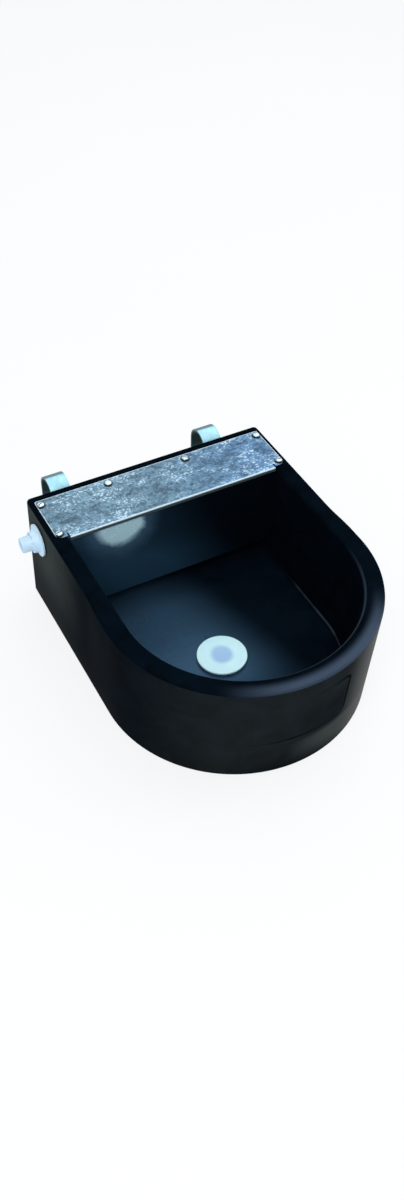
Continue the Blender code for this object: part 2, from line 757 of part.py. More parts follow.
def cover_plate():
    """One bent sheet, made as its upper surface and given its thickness downwards."""
    holes = [arc(place, SCREW_RADIUS + SEAT_GAP, 0, 330, 11) for place in screw_places()]
    mesh = flat_mesh("cover_plate", [plate_edge(), *holes], 0)
    bend_y = PLATE_FRONT_Y + LIP_BEND
    shape = bmesh.new()
    shape.from_mesh(mesh)
    # the notch floors are in line, so the fill leaves flat slivers between them
    bmesh.ops.beautify_fill(shape, faces=shape.faces, edges=shape.edges)
    front = [
        edge
        for edge in shape.edges
        if edge.is_boundary and all(abs(vert.co.y - bend_y) < SEAT_GAP / 3 for vert in edge.verts)
    ]
    steps = [
        (LIP_BEND * math.sin(a), LIP_BEND * (1 - math.cos(a))) for a in quarter(4)
    ] + [(LIP_BEND, LIP_DEPTH)]
    for (y0, z0), (y1, z1) in zip(steps, steps[1:]):
        made = bmesh.ops.extrude_edge_only(shape, edges=front)["geom"]
        front = [item for item in made if isinstance(item, bmesh.types.BMEdge)]
        verts = [item for item in made if isinstance(item, bmesh.types.BMVert)]
        bmesh.ops.translate(shape, verts=verts, vec=(0, y0 - y1, z0 - z1))
    bmesh.ops.recalc_face_normals(shape, faces=shape.faces)
    shape.normal_update()
    if sum(face.normal.z for face in shape.faces) < 0:
        bmesh.ops.reverse_faces(shape, faces=shape.faces)
    shape.to_mesh(mesh)
    shape.free()
    plate = add("cover_plate", mesh, ZINC_SHEET, Matrix.Translation((0, 0, PLATE_TOP_Z)))
    solid = plate.modifiers.new("sheet", "SOLIDIFY")
    solid.thickness = SHEET
    solid.offset = -1


def pan_screw_mesh():
    """A slotted pan-head screw whose head rests on its own XY plane."""
    dome = [
        (SCREW_HEAD_RADIUS * math.sin(a), SCREW_HEAD_HEIGHT * (0.35 + 0.65 * math.cos(a)))
        for a in quarter(3)
    ]
    points = dome + [(SCREW_HEAD_RADIUS, 0), (SCREW_RADIUS, 0)]
    points += [(SCREW_RADIUS, SCREW_RADIUS - SCREW_LENGTH), (0, -SCREW_LENGTH)]
    screw = turned("pan_screw", points, BRIGHT_ZINC, sides=SMALL_SIDES)
    reach = 2 * SCREW_HEAD_RADIUS
    low = (-reach, -SCREW_SLOT_WIDTH / 2, SCREW_HEAD_HEIGHT - SCREW_SLOT_DEPTH)
    high = (reach, SCREW_SLOT_WIDTH / 2, SCREW_HEAD_HEIGHT + SCREW_SLOT_DEPTH)
    slot = add_cutter("screw_slot", box_mesh("screw_slot", low, high))
    boolean(screw, "DIFFERENCE", slot)
    mesh = baked(screw)
    bpy.data.objects.remove(slot)
    return mesh


def cover_screws():
    """Six screws through the cover plate, each turned into a brass insert in the rim."""
    screw_mesh = pan_screw_mesh()
    insert = turned(
        "screw_insert",
        ring_points(SCREW_RADIUS + SEAT_GAP, INSERT_RADIUS, -INSERT_LENGTH, -SEAT_GAP),
        BRASS,
        sides=SMALL_SIDES,
        closed=True,
    )
    insert_mesh = baked(insert)
    slot_turns = (25, 70, -35, 50, 10, -20)
    for name, (x, y), slot_turn in zip(SCREW_NAMES, screw_places(), slot_turns):
        spin = Matrix.Rotation(math.radians(slot_turn), 4, "Z")
        head_seat = Matrix.Translation((x, y, PLATE_TOP_Z + SEAT_GAP))
        add(f"cover_screw_{name}", screw_mesh, BRIGHT_ZINC, head_seat @ spin)
        add(f"screw_insert_{name}", insert_mesh, BRASS, Matrix.Translation((x, y, BODY_HEIGHT)))


def baffle():
    edge = baffle_outline(BAFFLE_GROOVE_DEPTH - SEAT_GAP, BAFFLE_FOOT_Z, BODY_HEIGHT - BAFFLE_TOP_GAP)
    mesh = flat_mesh("baffle_panel", [edge], BAFFLE_THICKNESS)
    panel = add("baffle_panel", mesh, BLACK_PLASTIC, upright_at(BAFFLE_FRONT_Y + BAFFLE_THICKNESS / 2))
    bevel(panel, SEAT_GAP)


def hook_path():
    """Up the back wall, over the rail and down behind it, as (outward, up) points midway in the strip."""
    near = SEAT_GAP + HOOK_THICKNESS / 2
    radius = (HOOK_RAIL_GAP + HOOK_THICKNESS) / 2
    far = near + 2 * radius
    crown_z = -HOOK_CROWN_BELOW_RIM
    path = [(near, crown_z - HOOK_NEAR_LEG)]
    path += arc((near + radius, crown_z), radius, 180, 0, 12)
    path += [
        (far, crown_z - HOOK_FAR_LEG),
        (far + HOOK_TIP_FLARE, crown_z - HOOK_FAR_LEG - HOOK_TIP),
    ]
    return path


def hook_mesh(name):
    """The strip's middle surface, HOOK_WIDTH wide."""
    mesh = bpy.data.meshes.new(name)
    shape = bmesh.new()
    verts = [shape.verts.new((-HOOK_WIDTH / 2, y, z)) for y, z in hook_path()]
    edges = [shape.edges.new(pair) for pair in zip(verts, verts[1:])]
    made = bmesh.ops.extrude_edge_only(shape, edges=edges)["geom"]
    moved = [item for item in made if isinstance(item, bmesh.types.BMVert)]
    bmesh.ops.translate(shape, verts=moved, vec=(HOOK_WIDTH, 0, 0))
    shape.to_mesh(mesh)
    shape.free()
    return mesh


def hook_bolt_mesh():
    """A cup-head bolt whose head rests on its own XY plane, pointing away from the wall."""
    reach = HOOK_THICKNESS + 2 * SEAT_GAP + BACK_WALL_CLAMPED
    length = reach + 2 * SEAT_GAP + WASHER_THICKNESS + NUT_HEIGHT + BOLT_TAIL
    dome = [(BOLT_HEAD_RADIUS * math.sin(a), BOLT_HEAD_HEIGHT * math.cos(a)) for a in quarter(3)]
    points = dome + [(BOLT_RADIUS, 0), (BOLT_RADIUS, BOLT_RADIUS / 3 - length)]
    points += [(BOLT_RADIUS * 2 / 3, -length), (0, -length)]
    return baked(turned("hook_bolt", points, BRIGHT_ZINC, sides=SMALL_SIDES))


def hex_nut_mesh(name, across_corners, height, hole):
    """A hexagon nut that stands on its own XY plane."""
    body = mesh_from(
        lambda shape: cylinder_into(shape, (0, 0, 0), (0, 0, height), across_corners / 2, 6), name
    )
    nut = add(name, body, BRIGHT_ZINC)
    through = [((0, 0, -height), (0, 0, 2 * height), hole)]
    bore = add_cutter(f"{name}_bore", bars_mesh("bore", through, SMALL_SIDES))
    boolean(nut, "DIFFERENCE", bore)
    mesh = baked(nut)
    bpy.data.objects.remove(bore)
    return mesh


def hooks():
    """Two strip hooks, each held by two bolts with a washer and a nut inside the float chamber."""
    strip = hook_mesh("hook_strip")
    for side, x in zip(HOOK_SIDES, HOOKS_X):
        hook = add(f"rail_hook_{side}", strip, ZINC_STRIP, Matrix.Translation((x, 0, 0)), WALL_AXIS)
        solid = hook.modifiers.new("strip", "SOLIDIFY")
        solid.thickness = HOOK_THICKNESS
        solid.offset = 0
        bevel(hook, HOOK_EDGE)
        bars = [
            ((bx, -SKIN, bz), (bx, 2 * SKIN, bz), BOLT_RADIUS + SEAT_GAP)
            for other, _, bx, bz in hook_bolt_places()
            if other == side
        ]
        mesh = bars_mesh(f"hook_holes_{side}", bars, SMALL_SIDES)
        boolean(hook, "DIFFERENCE", add_cutter(f"hook_holes_{side}", mesh, parent=WALL_AXIS))
    bolt_mesh = hook_bolt_mesh()
    washer = turned(
        "hook_washer",
        ring_points(BOLT_RADIUS + SEAT_GAP, WASHER_RADIUS, 0, WASHER_THICKNESS),
        BRIGHT_ZINC,
        sides=SMALL_SIDES,
        closed=True,
    )
    washer_mesh = baked(washer)
    nut_mesh = hex_nut_mesh("hook_nut", NUT_ACROSS_CORNERS, NUT_HEIGHT, BOLT_RADIUS + SEAT_GAP)
    head_y = 2 * SEAT_GAP + HOOK_THICKNESS
    washer_y = -BACK_WALL_CLAMPED - SEAT_GAP - WASHER_THICKNESS
    nut_y = washer_y - SEAT_GAP - NUT_HEIGHT
    for side, number, x, z in hook_bolt_places():
        name = f"{side}_{number}"
        fasteners = (("bolt", bolt_mesh, head_y), ("washer", washer_mesh, washer_y), ("nut", nut_mesh, nut_y))
        for part, mesh, y in fasteners:
            add(f"hook_{part}_{name}", mesh, BRIGHT_ZINC, Matrix.Translation((x, y, z)) @ OUTWARD, WALL_AXIS)


SHOULDER_X = inner_seat_x() + SEAT_GAP + SEAL_THICKNESS + SEAT_GAP
BARREL_END_X = SHOULDER_X + SHOULDER_THICKNESS + BARREL_LENGTH
TAIL_END_X = INLET_SEAT_X - INLET_REACH
PLUNGER_END_X = BARREL_END_X + PLUNGER_OVERHANG
POCKET_X = SHOULDER_X + SHOULDER_THICKNESS + NOZZLE_POCKET
NOZZLE_START_X = POCKET_X + 2 * NOZZLE_SEAL + 2 * SEAT_GAP
NOZZLE_LIP_X = NOZZLE_START_X + NOZZLE_LENGTH + NOZZLE_LIP
PLUNGER_TRAVEL = 2 * FINGER_LENGTH * math.sin(ARM_OPEN_TILT)
PLUNGER_START_X = NOZZLE_LIP_X + SEAT_GAP + PLUNGER_TRAVEL
PIVOT_X = PLUNGER_END_X + SEAT_GAP + FINGER_TIP_RADIUS - FINGER_LENGTH * math.sin(ARM_OPEN_TILT)
PIVOT_Z = INLET_Z - FINGER_LENGTH * math.cos(ARM_OPEN_TILT)


def valve_ears(valve):
    """Two ears under the barrel that hold the lever's pin."""
    for side in (-1, 1):
        y = INLET_Y + side * (LEVER_HALF_WIDTH + SEAT_GAP + EAR_THICKNESS / 2)
        edge = arc((PIVOT_X, PIVOT_Z), EAR_END_RADIUS, -90, 90, 8)
        edge += [(PIVOT_X - EAR_LENGTH, z) for z in (PIVOT_Z + EAR_END_RADIUS, PIVOT_Z - EAR_END_RADIUS)]
        mesh = flat_mesh(f"valve_ear_{side}", [edge], EAR_THICKNESS)
        boolean(valve, "UNION", add_cutter(f"valve_ear_{side}", mesh, upright_at(y)))


def valve_body():
    """The tail through the bowl's wall, the shoulder inside it, the barrel and the ears."""
    points = [
        (0, TAIL_END_X),
        (TAIL_END_RADIUS - TAIL_EASE, TAIL_END_X),
        (TAIL_END_RADIUS, TAIL_END_X + TAIL_EASE),
        (TAIL_ROOT_RADIUS, INLET_SEAT_X),
        (TAIL_ROOT_RADIUS, SHOULDER_X),
        (SHOULDER_RADIUS, SHOULDER_X),
        (SHOULDER_RADIUS, SHOULDER_X + SHOULDER_THICKNESS),
        (BARREL_RADIUS, SHOULDER_X + SHOULDER_THICKNESS),
        (BARREL_RADIUS, BARREL_END_X),
        (0, BARREL_END_X),
    ]
    points.reverse()
    valve = turned("valve_body", points, WHITE_PLASTIC, inlet_place(0))
    valve_ears(valve)
    bore = [
        (0, PIVOT_X + 2 * EAR_END_RADIUS),
        (BARREL_BORE, PIVOT_X + 2 * EAR_END_RADIUS),
        (BARREL_BORE, POCKET_X),
        (TAIL_BORE, POCKET_X),
        (TAIL_BORE, TAIL_END_X - SKIN),
        (0, TAIL_END_X - SKIN),
    ]
    boolean(valve, "DIFFERENCE", turned_cutter("valve_bore", bore, inlet_place(0)))
    outlet = box_mesh(
        "valve_outlet",
        (NOZZLE_LIP_X - OUTLET_LENGTH / 2, INLET_Y - OUTLET_WIDTH / 2, INLET_Z - 2 * BARREL_RADIUS),
        (NOZZLE_LIP_X + OUTLET_LENGTH / 2, INLET_Y + OUTLET_WIDTH / 2, INLET_Z),
    )
    boolean(valve, "DIFFERENCE", add_cutter("valve_outlet", outlet))
    reach = 2 * LEVER_HALF_WIDTH + 2 * EAR_THICKNESS
    pin = [((PIVOT_X, INLET_Y - reach, PIVOT_Z), (PIVOT_X, INLET_Y + reach, PIVOT_Z), PIN_RADIUS + SEAT_GAP)]
    boolean(valve, "DIFFERENCE", add_cutter("valve_pin_hole", bars_mesh("valve_pin_hole", pin, SMALL_SIDES)))


def inlet_fittings():
    """What clamps the valve in the wall: a seal on each side and the flanged nut outside."""
    bore = TAIL_ROOT_RADIUS + SEAT_GAP
    outer_seal_x = INLET_SEAT_X - SEAT_GAP - SEAL_THICKNESS
    turned(
        "inlet_outer_seal",
        ring_points(bore, OUTER_SEAL_RADIUS, outer_seal_x, outer_seal_x + SEAL_THICKNESS),
        RUBBER,
        inlet_place(0),
        closed=True,
    )
    inner_seal_x = inner_seat_x() + SEAT_GAP
    turned(
        "inlet_inner_seal",
        ring_points(bore, SHOULDER_RADIUS, inner_seal_x, inner_seal_x + SEAL_THICKNESS),
        RUBBER,
        inlet_place(0),
        closed=True,
    )
    face = outer_seal_x - SEAT_GAP
    back = face - FLANGE_THICKNESS
    end = back - COLLAR_LENGTH
    rim = FLANGE_THICKNESS / 4
    collar_end = COLLAR_RADIUS - 2 * rim
    points = [
        (FLANGE_RADIUS - rim, face),
        (FLANGE_RADIUS, face - rim),
        (FLANGE_RADIUS, back + rim),
        (FLANGE_RADIUS - rim, back),
        (COLLAR_RADIUS, back),
        (collar_end, end + rim),
        (collar_end - rim, end),
        (bore, end),
        (bore, face),
    ]
    turned(
        "inlet_flange_nut", points, WHITE_PLASTIC, inlet_place(0), sides=LARGE_SIDES, closed=True
    )


def strainer():
    """A small perforated disc just inside the mouth of the tail."""
    radius = TAIL_BORE - SEAT_GAP
    start = TAIL_END_X + STRAINER_DEPTH
    centre = Vector((start, INLET_Y, INLET_Z))
    along = Vector((STRAINER_THICKNESS, 0, 0))
    disc = bars_mesh("inlet_strainer", [(centre, centre + along, radius)], ROUND_SIDES)
    screen = add("inlet_strainer", disc, BRIGHT_ZINC)
    ring = radius * STRAINER_RING
    turns = [math.tau * i / STRAINER_RING_HOLES for i in range(STRAINER_RING_HOLES)]
    offsets = [(0, 0)] + [(ring * math.cos(a), ring * math.sin(a)) for a in turns]
    bars = []
    for y, z in offsets:
        middle = centre + Vector((0, y, z))
        bars.append((middle - along, middle + along + along, STRAINER_HOLE))
    holes = bars_mesh("strainer_holes", bars, STRAINER_RING_HOLES)
    boolean(screen, "DIFFERENCE", add_cutter("strainer_holes", holes))


def torus_mesh(name, ring_radius, wire_radius, sides, wire_sides):
    """A round sealing ring about its own Z axis."""
    points = arc((ring_radius, 0), wire_radius, 0, -360 + 360 / wire_sides, wire_sides - 1)
    return baked(turned(name, points, RUBBER, sides=sides, closed=True))


def nozzle():
    """The jet that the plunger shuts, and the ring that seals it in the barrel."""
    radius = BARREL_BORE - SEAT_GAP
    front = NOZZLE_START_X + NOZZLE_LENGTH
    points = [
        (NOZZLE_LIP_RADIUS, NOZZLE_LIP_X),
        (NOZZLE_LIP_RADIUS, front),
        (radius, front),
        (radius, NOZZLE_START_X),
        (TAIL_BORE - SEAT_GAP, NOZZLE_START_X),
        (NOZZLE_ORIFICE, front),
        (NOZZLE_ORIFICE, NOZZLE_LIP_X),
    ]
    turned("valve_nozzle", points, BRASS, inlet_place(0), closed=True)
    ring = torus_mesh("nozzle_seal", radius - NOZZLE_SEAL, NOZZLE_SEAL, ROUND_SIDES, 6)
    add("nozzle_seal", ring, RUBBER, inlet_place(POCKET_X + SEAT_GAP + NOZZLE_SEAL))


def plunger():
    """The sliding plunger with the rubber disc that meets the nozzle."""
    axis = add_axis("plunger_axis", Matrix.Translation((PLUNGER_START_X, INLET_Y, INLET_Z)))
    radius = BARREL_BORE - RUNNING_GAP
    length = PLUNGER_END_X - PLUNGER_START_X
    pocket = PLUNGER_SEAT_RADIUS + SEAT_GAP
    depth = PLUNGER_SEAT_THICKNESS + SEAT_GAP
    shoulder = length - PLUNGER_NOSE_LENGTH
    points = [
        (0, length),
        (PLUNGER_NOSE_RADIUS - SEAT_GAP, length),
        (PLUNGER_NOSE_RADIUS, length - SEAT_GAP),
        (PLUNGER_NOSE_RADIUS, shoulder),
        (radius - SEAT_GAP, shoulder),
        (radius, shoulder - SEAT_GAP),
        (radius, 0),
        (pocket, 0),
        (pocket, depth),
        (0, depth),
    ]
    turned("valve_plunger", points, WHITE_PLASTIC, ALONG_X, axis)
    disc = [
        (0, PLUNGER_SEAT_THICKNESS),
        (PLUNGER_SEAT_RADIUS, PLUNGER_SEAT_THICKNESS),
        (PLUNGER_SEAT_RADIUS, 0),
        (0, 0),
    ]
    turned("plunger_seat", disc, RUBBER, ALONG_X, axis, sides=SMALL_SIDES)


def pivot_pin():
    """The lever's pin with its head, and the clip on its other end."""
    ear_face = LEVER_HALF_WIDTH + SEAT_GAP + EAR_THICKNESS
    head = ear_face + SEAT_GAP
    clip = ear_face + SEAT_GAP
    end = clip + CLIP_THICKNESS + PIN_RADIUS
    points = [
        (0, head + PIN_HEAD_THICKNESS),
        (PIN_HEAD_RADIUS, head + PIN_HEAD_THICKNESS),
        (PIN_HEAD_RADIUS, head),
        (PIN_RADIUS, head),
        (PIN_RADIUS, SEAT_GAP - end),
        (PIN_RADIUS - SEAT_GAP, -end),
        (0, -end),
    ]
    across = Matrix.Translation((PIVOT_X, INLET_Y, PIVOT_Z)) @ Matrix.Rotation(math.radians(90), 4, "X")
    turned("arm_pivot_pin", points, BRIGHT_ZINC, across, sides=SMALL_SIDES)
    ring = ring_points(PIN_RADIUS + SEAT_GAP, PIN_HEAD_RADIUS, -clip - CLIP_THICKNESS, -clip)
    turned("pivot_pin_clip", ring, BRIGHT_ZINC, across, sides=SMALL_SIDES, closed=True)


def lever(axis):
    """The moulded lever: hub on the pin, finger behind the plunger, socket for the float rod."""
    width = LEVER_HALF_WIDTH
    hub = bars_mesh("float_lever", [((0, -width, 0), (0, width, 0), HUB_RADIUS)], ROUND_SIDES)
    piece = add("float_lever", hub, WHITE_PLASTIC, parent=axis)
    lean = ARM_OPEN_TILT - ARM_DROOP
    finger_turn = Matrix.Rotation(lean, 4, "Y")
    thickness = FINGER_THICKNESS / 2
    shank = box_mesh("finger", (-thickness, -width, 0), (thickness, width, FINGER_LENGTH))
    tip = bars_mesh(
        "finger_tip",
        [((0, -width, FINGER_LENGTH), (0, width, FINGER_LENGTH), FINGER_TIP_RADIUS)],
        SMALL_SIDES,
    )
    neck = box_mesh(
        "lever_neck",
        (0, SEAT_GAP - width, -HUB_RADIUS + SEAT_GAP),
        (SOCKET_START + SKIN, width - SEAT_GAP, HUB_RADIUS - SEAT_GAP),
    )
    socket = bars_mesh("rod_socket", [((SOCKET_START, 0, 0), (SOCKET_END, 0, 0), SOCKET_RADIUS)], ROUND_SIDES)
    for name, mesh, place in (
        ("finger", shank, finger_turn),
        ("finger_tip", tip, finger_turn),
        ("lever_neck", neck, None),
        ("rod_socket", socket, None),
    ):
        boolean(piece, "UNION", add_cutter(name, mesh, place, axis))
    holes = [
        ((0, -2 * width, 0), (0, 2 * width, 0), PIN_RADIUS + SEAT_GAP),
        ((ROD_START - SEAT_GAP, 0, 0), (SOCKET_END + SKIN, 0, 0), ROD_RADIUS + SEAT_GAP),
    ]
    ways = bars_mesh("lever_holes", holes, SMALL_SIDES)
    boolean(piece, "DIFFERENCE", add_cutter("lever_holes", ways, parent=axis))


def rod_points():
    """Along the arm, with a double bend that brings the float to the middle of the chamber."""
    points = [(ROD_START, 0.0)]
    steps = 10
    for step in range(steps + 1):
        share = step / steps
        x = ROD_BEND_START + (ROD_BEND_END - ROD_BEND_START) * share
        points.append((x, ROD_OFFSET_Y * (1 - math.cos(math.pi * share)) / 2))
    points.append((ROD_END, ROD_OFFSET_Y))
    return points


def float_rod(axis):
    curve = bpy.data.curves.new("float_rod", "CURVE")
    curve.dimensions = "3D"
    curve.bevel_depth = ROD_RADIUS
    curve.bevel_resolution = 2
    curve.use_fill_caps = True
    points = rod_points()
    spline = curve.splines.new("POLY")
    spline.points.add(len(points) - 1)
    for point, (x, y) in zip(spline.points, points):
        point.co = (x, y, 0, 1)
    curve.materials.append(BRASS)
    rod = bpy.data.objects.new("float_rod", curve)
    PARTS.objects.link(rod)
    rod.parent = axis


def wing_nut_mesh():
    """A hub with two wings, standing on its own XY plane."""
    hub = bars_mesh("float_wing_nut", [((0, 0, 0), (0, 0, WING_HUB_LENGTH), WING_HUB_RADIUS)], SMALL_SIDES)
    nut = add("float_wing_nut", hub, BRIGHT_ZINC)
    helpers = []
    for side in (-1, 1):
        reach = side * WING_SPAN / 2
        low = (min(0, reach), -WING_THICKNESS / 2, SEAT_GAP)
        high = (max(0, reach), WING_THICKNESS / 2, WING_HEIGHT)
        helpers.append(add_cutter(f"wing_{side}", box_mesh("wing", low, high)))
        boolean(nut, "UNION", helpers[-1])
    bore = [((0, 0, -WING_HEIGHT), (0, 0, 2 * WING_HEIGHT), ROD_RADIUS + SEAT_GAP)]
    helpers.append(add_cutter("wing_bore", bars_mesh("wing_bore", bore, SMALL_SIDES)))
    boolean(nut, "DIFFERENCE", helpers[-1])
    mesh = baked(nut)
    for helper in helpers:
        bpy.data.objects.remove(helper)
    return mesh


def float_group(axis):
    """The float on its rod, held between a lock nut and a wing nut."""
    bore = ROD_RADIUS + SEAT_GAP
    half = FLOAT_LENGTH / 2
    inner = FLOAT_RADIUS - FLOAT_EDGE
    top = [(inner + FLOAT_EDGE * math.sin(a), half - FLOAT_EDGE * (1 - math.cos(a))) for a in quarter(3)]
    points = [(bore, half), *top, *[(radius, -height) for radius, height in reversed(top)], (bore, -half)]
    place = Matrix.Translation((FLOAT_CENTRE, ROD_OFFSET_Y, 0)) @ ALONG_X
    turned("float", points, FLOAT_PLASTIC, place, axis, sides=ROUND_SIDES, closed=True)
    nut_mesh = hex_nut_mesh("rod_nut", NUT_ACROSS_CORNERS, ROD_NUT_LENGTH, bore)
    nuts = (
        ("rod_lock_nut", nut_mesh, (SOCKET_END + SEAT_GAP, 0, 0)),
        ("float_stop_nut", nut_mesh, (FLOAT_CENTRE - half - SEAT_GAP - ROD_NUT_LENGTH, ROD_OFFSET_Y, 0)),
        ("float_wing_nut", wing_nut_mesh(), (FLOAT_CENTRE + half + SEAT_GAP, ROD_OFFSET_Y, 0)),
    )
    for name, mesh, at in nuts:
        add(name, mesh, BRIGHT_ZINC, Matrix.Translation(at) @ ALONG_X, axis)


def float_arm():
    """The whole arm hangs from its pivot with the float down, as in an empty bowl."""
    place = Matrix.Translation((PIVOT_X, INLET_Y, PIVOT_Z)) @ Matrix.Rotation(ARM_DROOP, 4, "Y")
    axis = add_axis("float_arm_axis", place)
    lever(axis)
    float_rod(axis)
    float_group(axis)


def drain():
    """The lift-out bung, its flat seal on the floor and its ring that grips the drain hole."""
    seal_low = FLOOR_Z + SEAT_GAP
    seat = seal_low + BUNG_SEAL_THICKNESS + SEAT_GAP
    axis = add_axis("drain_bung_axis", Matrix.Translation((DRAIN_X, DRAIN_Y, seat)))
    edge = BUNG_THICKNESS / 4
    foot = STEM_CLEAR_OF_BASE - seat
    ring_z = GRIP_RING_Z - seat
    groove = GRIP_RING + SEAT_GAP
    groove_radius = DRAIN_RADIUS - SEAT_GAP - 2 * GRIP_RING - SEAT_GAP
    points = [
        (0, BUNG_THICKNESS - BUNG_DISH_DEPTH),
        (BUNG_DISH_RADIUS - 2 * BUNG_DISH_DEPTH, BUNG_THICKNESS - BUNG_DISH_DEPTH),
        (BUNG_DISH_RADIUS, BUNG_THICKNESS),
        (BUNG_RADIUS - 2 * edge, BUNG_THICKNESS),
        (BUNG_RADIUS - edge / 2, BUNG_THICKNESS - edge / 2),
        (BUNG_RADIUS, BUNG_THICKNESS - 2 * edge),
        (BUNG_RADIUS, edge),
        (BUNG_RADIUS - edge, 0),
        (STEM_RADIUS, 0),
        (STEM_RADIUS, ring_z + groove),
        (groove_radius, ring_z + groove),
        (groove_radius, ring_z - groove),
        (STEM_RADIUS, ring_z - groove),
        (STEM_RADIUS, foot + edge),
        (STEM_RADIUS - edge, foot),
        (0, foot),
    ]
    turned("drain_bung", points, WHITE_PLASTIC, parent=axis, sides=LARGE_SIDES)
    seal = ring_points(DRAIN_RADIUS, BUNG_SEAL_RADIUS, seal_low - seat, seal_low - seat + BUNG_SEAL_THICKNESS)
    turned("bung_seal", seal, RUBBER, parent=axis, sides=LARGE_SIDES, closed=True)
    ring = torus_mesh("bung_grip_ring", groove_radius + SEAT_GAP + GRIP_RING, GRIP_RING, ROUND_SIDES, 6)
    add("bung_grip_ring", ring, RUBBER, Matrix.Translation((0, 0, ring_z)), axis)


bowl()
cover_plate()
cover_screws()
baffle()
hooks()
valve_body()
inlet_fittings()
strainer()
nozzle()
plunger()
pivot_pin()
float_arm()
drain()
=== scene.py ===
"""The finished look of an automatic horse waterer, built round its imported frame."""

import functools
import math
from typing import NamedTuple

import bmesh
import bpy
from bpy.props import FloatProperty, FloatVectorProperty, PointerProperty
from mathutils import Euler, Matrix, Vector


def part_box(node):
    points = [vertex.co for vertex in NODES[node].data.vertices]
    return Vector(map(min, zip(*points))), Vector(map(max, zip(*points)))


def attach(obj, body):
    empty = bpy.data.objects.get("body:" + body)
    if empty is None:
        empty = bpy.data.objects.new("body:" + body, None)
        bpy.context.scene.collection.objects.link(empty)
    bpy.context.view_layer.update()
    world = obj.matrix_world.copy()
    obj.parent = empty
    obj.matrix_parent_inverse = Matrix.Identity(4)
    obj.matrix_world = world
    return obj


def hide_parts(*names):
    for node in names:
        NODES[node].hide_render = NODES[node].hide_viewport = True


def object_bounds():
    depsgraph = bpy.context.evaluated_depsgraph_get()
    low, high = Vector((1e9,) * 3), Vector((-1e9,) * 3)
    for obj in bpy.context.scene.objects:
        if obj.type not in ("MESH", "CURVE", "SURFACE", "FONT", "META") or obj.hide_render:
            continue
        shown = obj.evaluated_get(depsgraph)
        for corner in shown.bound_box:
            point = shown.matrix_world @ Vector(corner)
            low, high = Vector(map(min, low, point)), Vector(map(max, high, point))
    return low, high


bl_info = {
    "name": "Horse Waterer",
    "version": (1, 0, 0),
    "blender": (4, 5, 0),
    "location": "View3D > Sidebar > Waterer",
    "description": "Builds the finished surfaces of an automatic horse waterer round its frame",
    "category": "Add Mesh",
}

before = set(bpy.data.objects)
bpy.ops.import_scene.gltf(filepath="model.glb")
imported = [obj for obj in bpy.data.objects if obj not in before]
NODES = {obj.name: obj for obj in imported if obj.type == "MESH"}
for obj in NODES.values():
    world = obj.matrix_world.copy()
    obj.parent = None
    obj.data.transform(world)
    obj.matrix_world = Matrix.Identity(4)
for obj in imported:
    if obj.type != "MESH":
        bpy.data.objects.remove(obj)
CAD_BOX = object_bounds()

BODY_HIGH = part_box("bowl_body")[1]
PLATE_LOW, PLATE_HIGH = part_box("cover_plate")
BAFFLE_LOW, BAFFLE_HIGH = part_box("baffle_panel")
BUNG_LOW, BUNG_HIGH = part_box("drain_bung")
NUT_LOW, NUT_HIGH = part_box("inlet_flange_nut")
BUNG_CENTRE = (BUNG_LOW + BUNG_HIGH) / 2
INLET_CENTRE = (NUT_LOW + NUT_HIGH) / 2

SEAT_GAP = 0.0003  # between pieces that rest on each other
BACK_LEAN = 0.005  # how far the back wall stands out further at its base than at the rim
HOOK_CROWN_DROP = 0.022  # from the rim down to the middle of the hooks' bend
HOOK_BOLT_DROPS = (0.069, 0.097)  # from the rim down to each row of hook bolts
BOLT_HOLE = 0.0032  # radius of the bolts' holes in hooks and nuts
BAFFLE_HIGHLIGHT_X = -0.080  # middle of the painted highlight on the baffle
BAFFLE_HIGHLIGHT_DROP = 0.006  # from the baffle's top down to the middle of the painted highlight
BAFFLE_HIGHLIGHT_REACH = (0.034, 0.036)  # how far the painted highlight spreads sideways and downwards

UPRIGHT = Matrix.Rotation(math.radians(90), 4, "X")
ALONG_INLET = Matrix.Translation((0, *INLET_CENTRE.yz)) @ Matrix.Rotation(math.radians(90), 4, "Y")
LEAN = Matrix.Rotation(math.atan2(BACK_LEAN, BODY_HIGH.z), 4, "X")
BACK_WALL = Matrix.Translation((0, 0, BODY_HIGH.z)) @ LEAN

SCREW_PLACES = ("back_1", "back_2", "back_3", "back_4", "front_left", "front_right")
SCREW_NODES = [f"cover_screw_{place}" for place in SCREW_PLACES]
INSERT_NODES = [f"screw_insert_{place}" for place in SCREW_PLACES]
HOOK_SIDES = ("left", "right")
BOLTS = [(side, number, drop) for side in HOOK_SIDES for number, drop in enumerate(HOOK_BOLT_DROPS, 1)]


def length(name, description, default):
    """A size in metres that a user can change."""
    return FloatProperty(
        name=name, description=description, default=default, precision=4, subtype="DISTANCE", unit="LENGTH"
    )


def tint(name, description, default):
    """A colour, as the linear values that the shader takes."""
    return FloatVectorProperty(
        name=name, description=description, default=default, size=3, min=0, max=1, subtype="COLOR"
    )


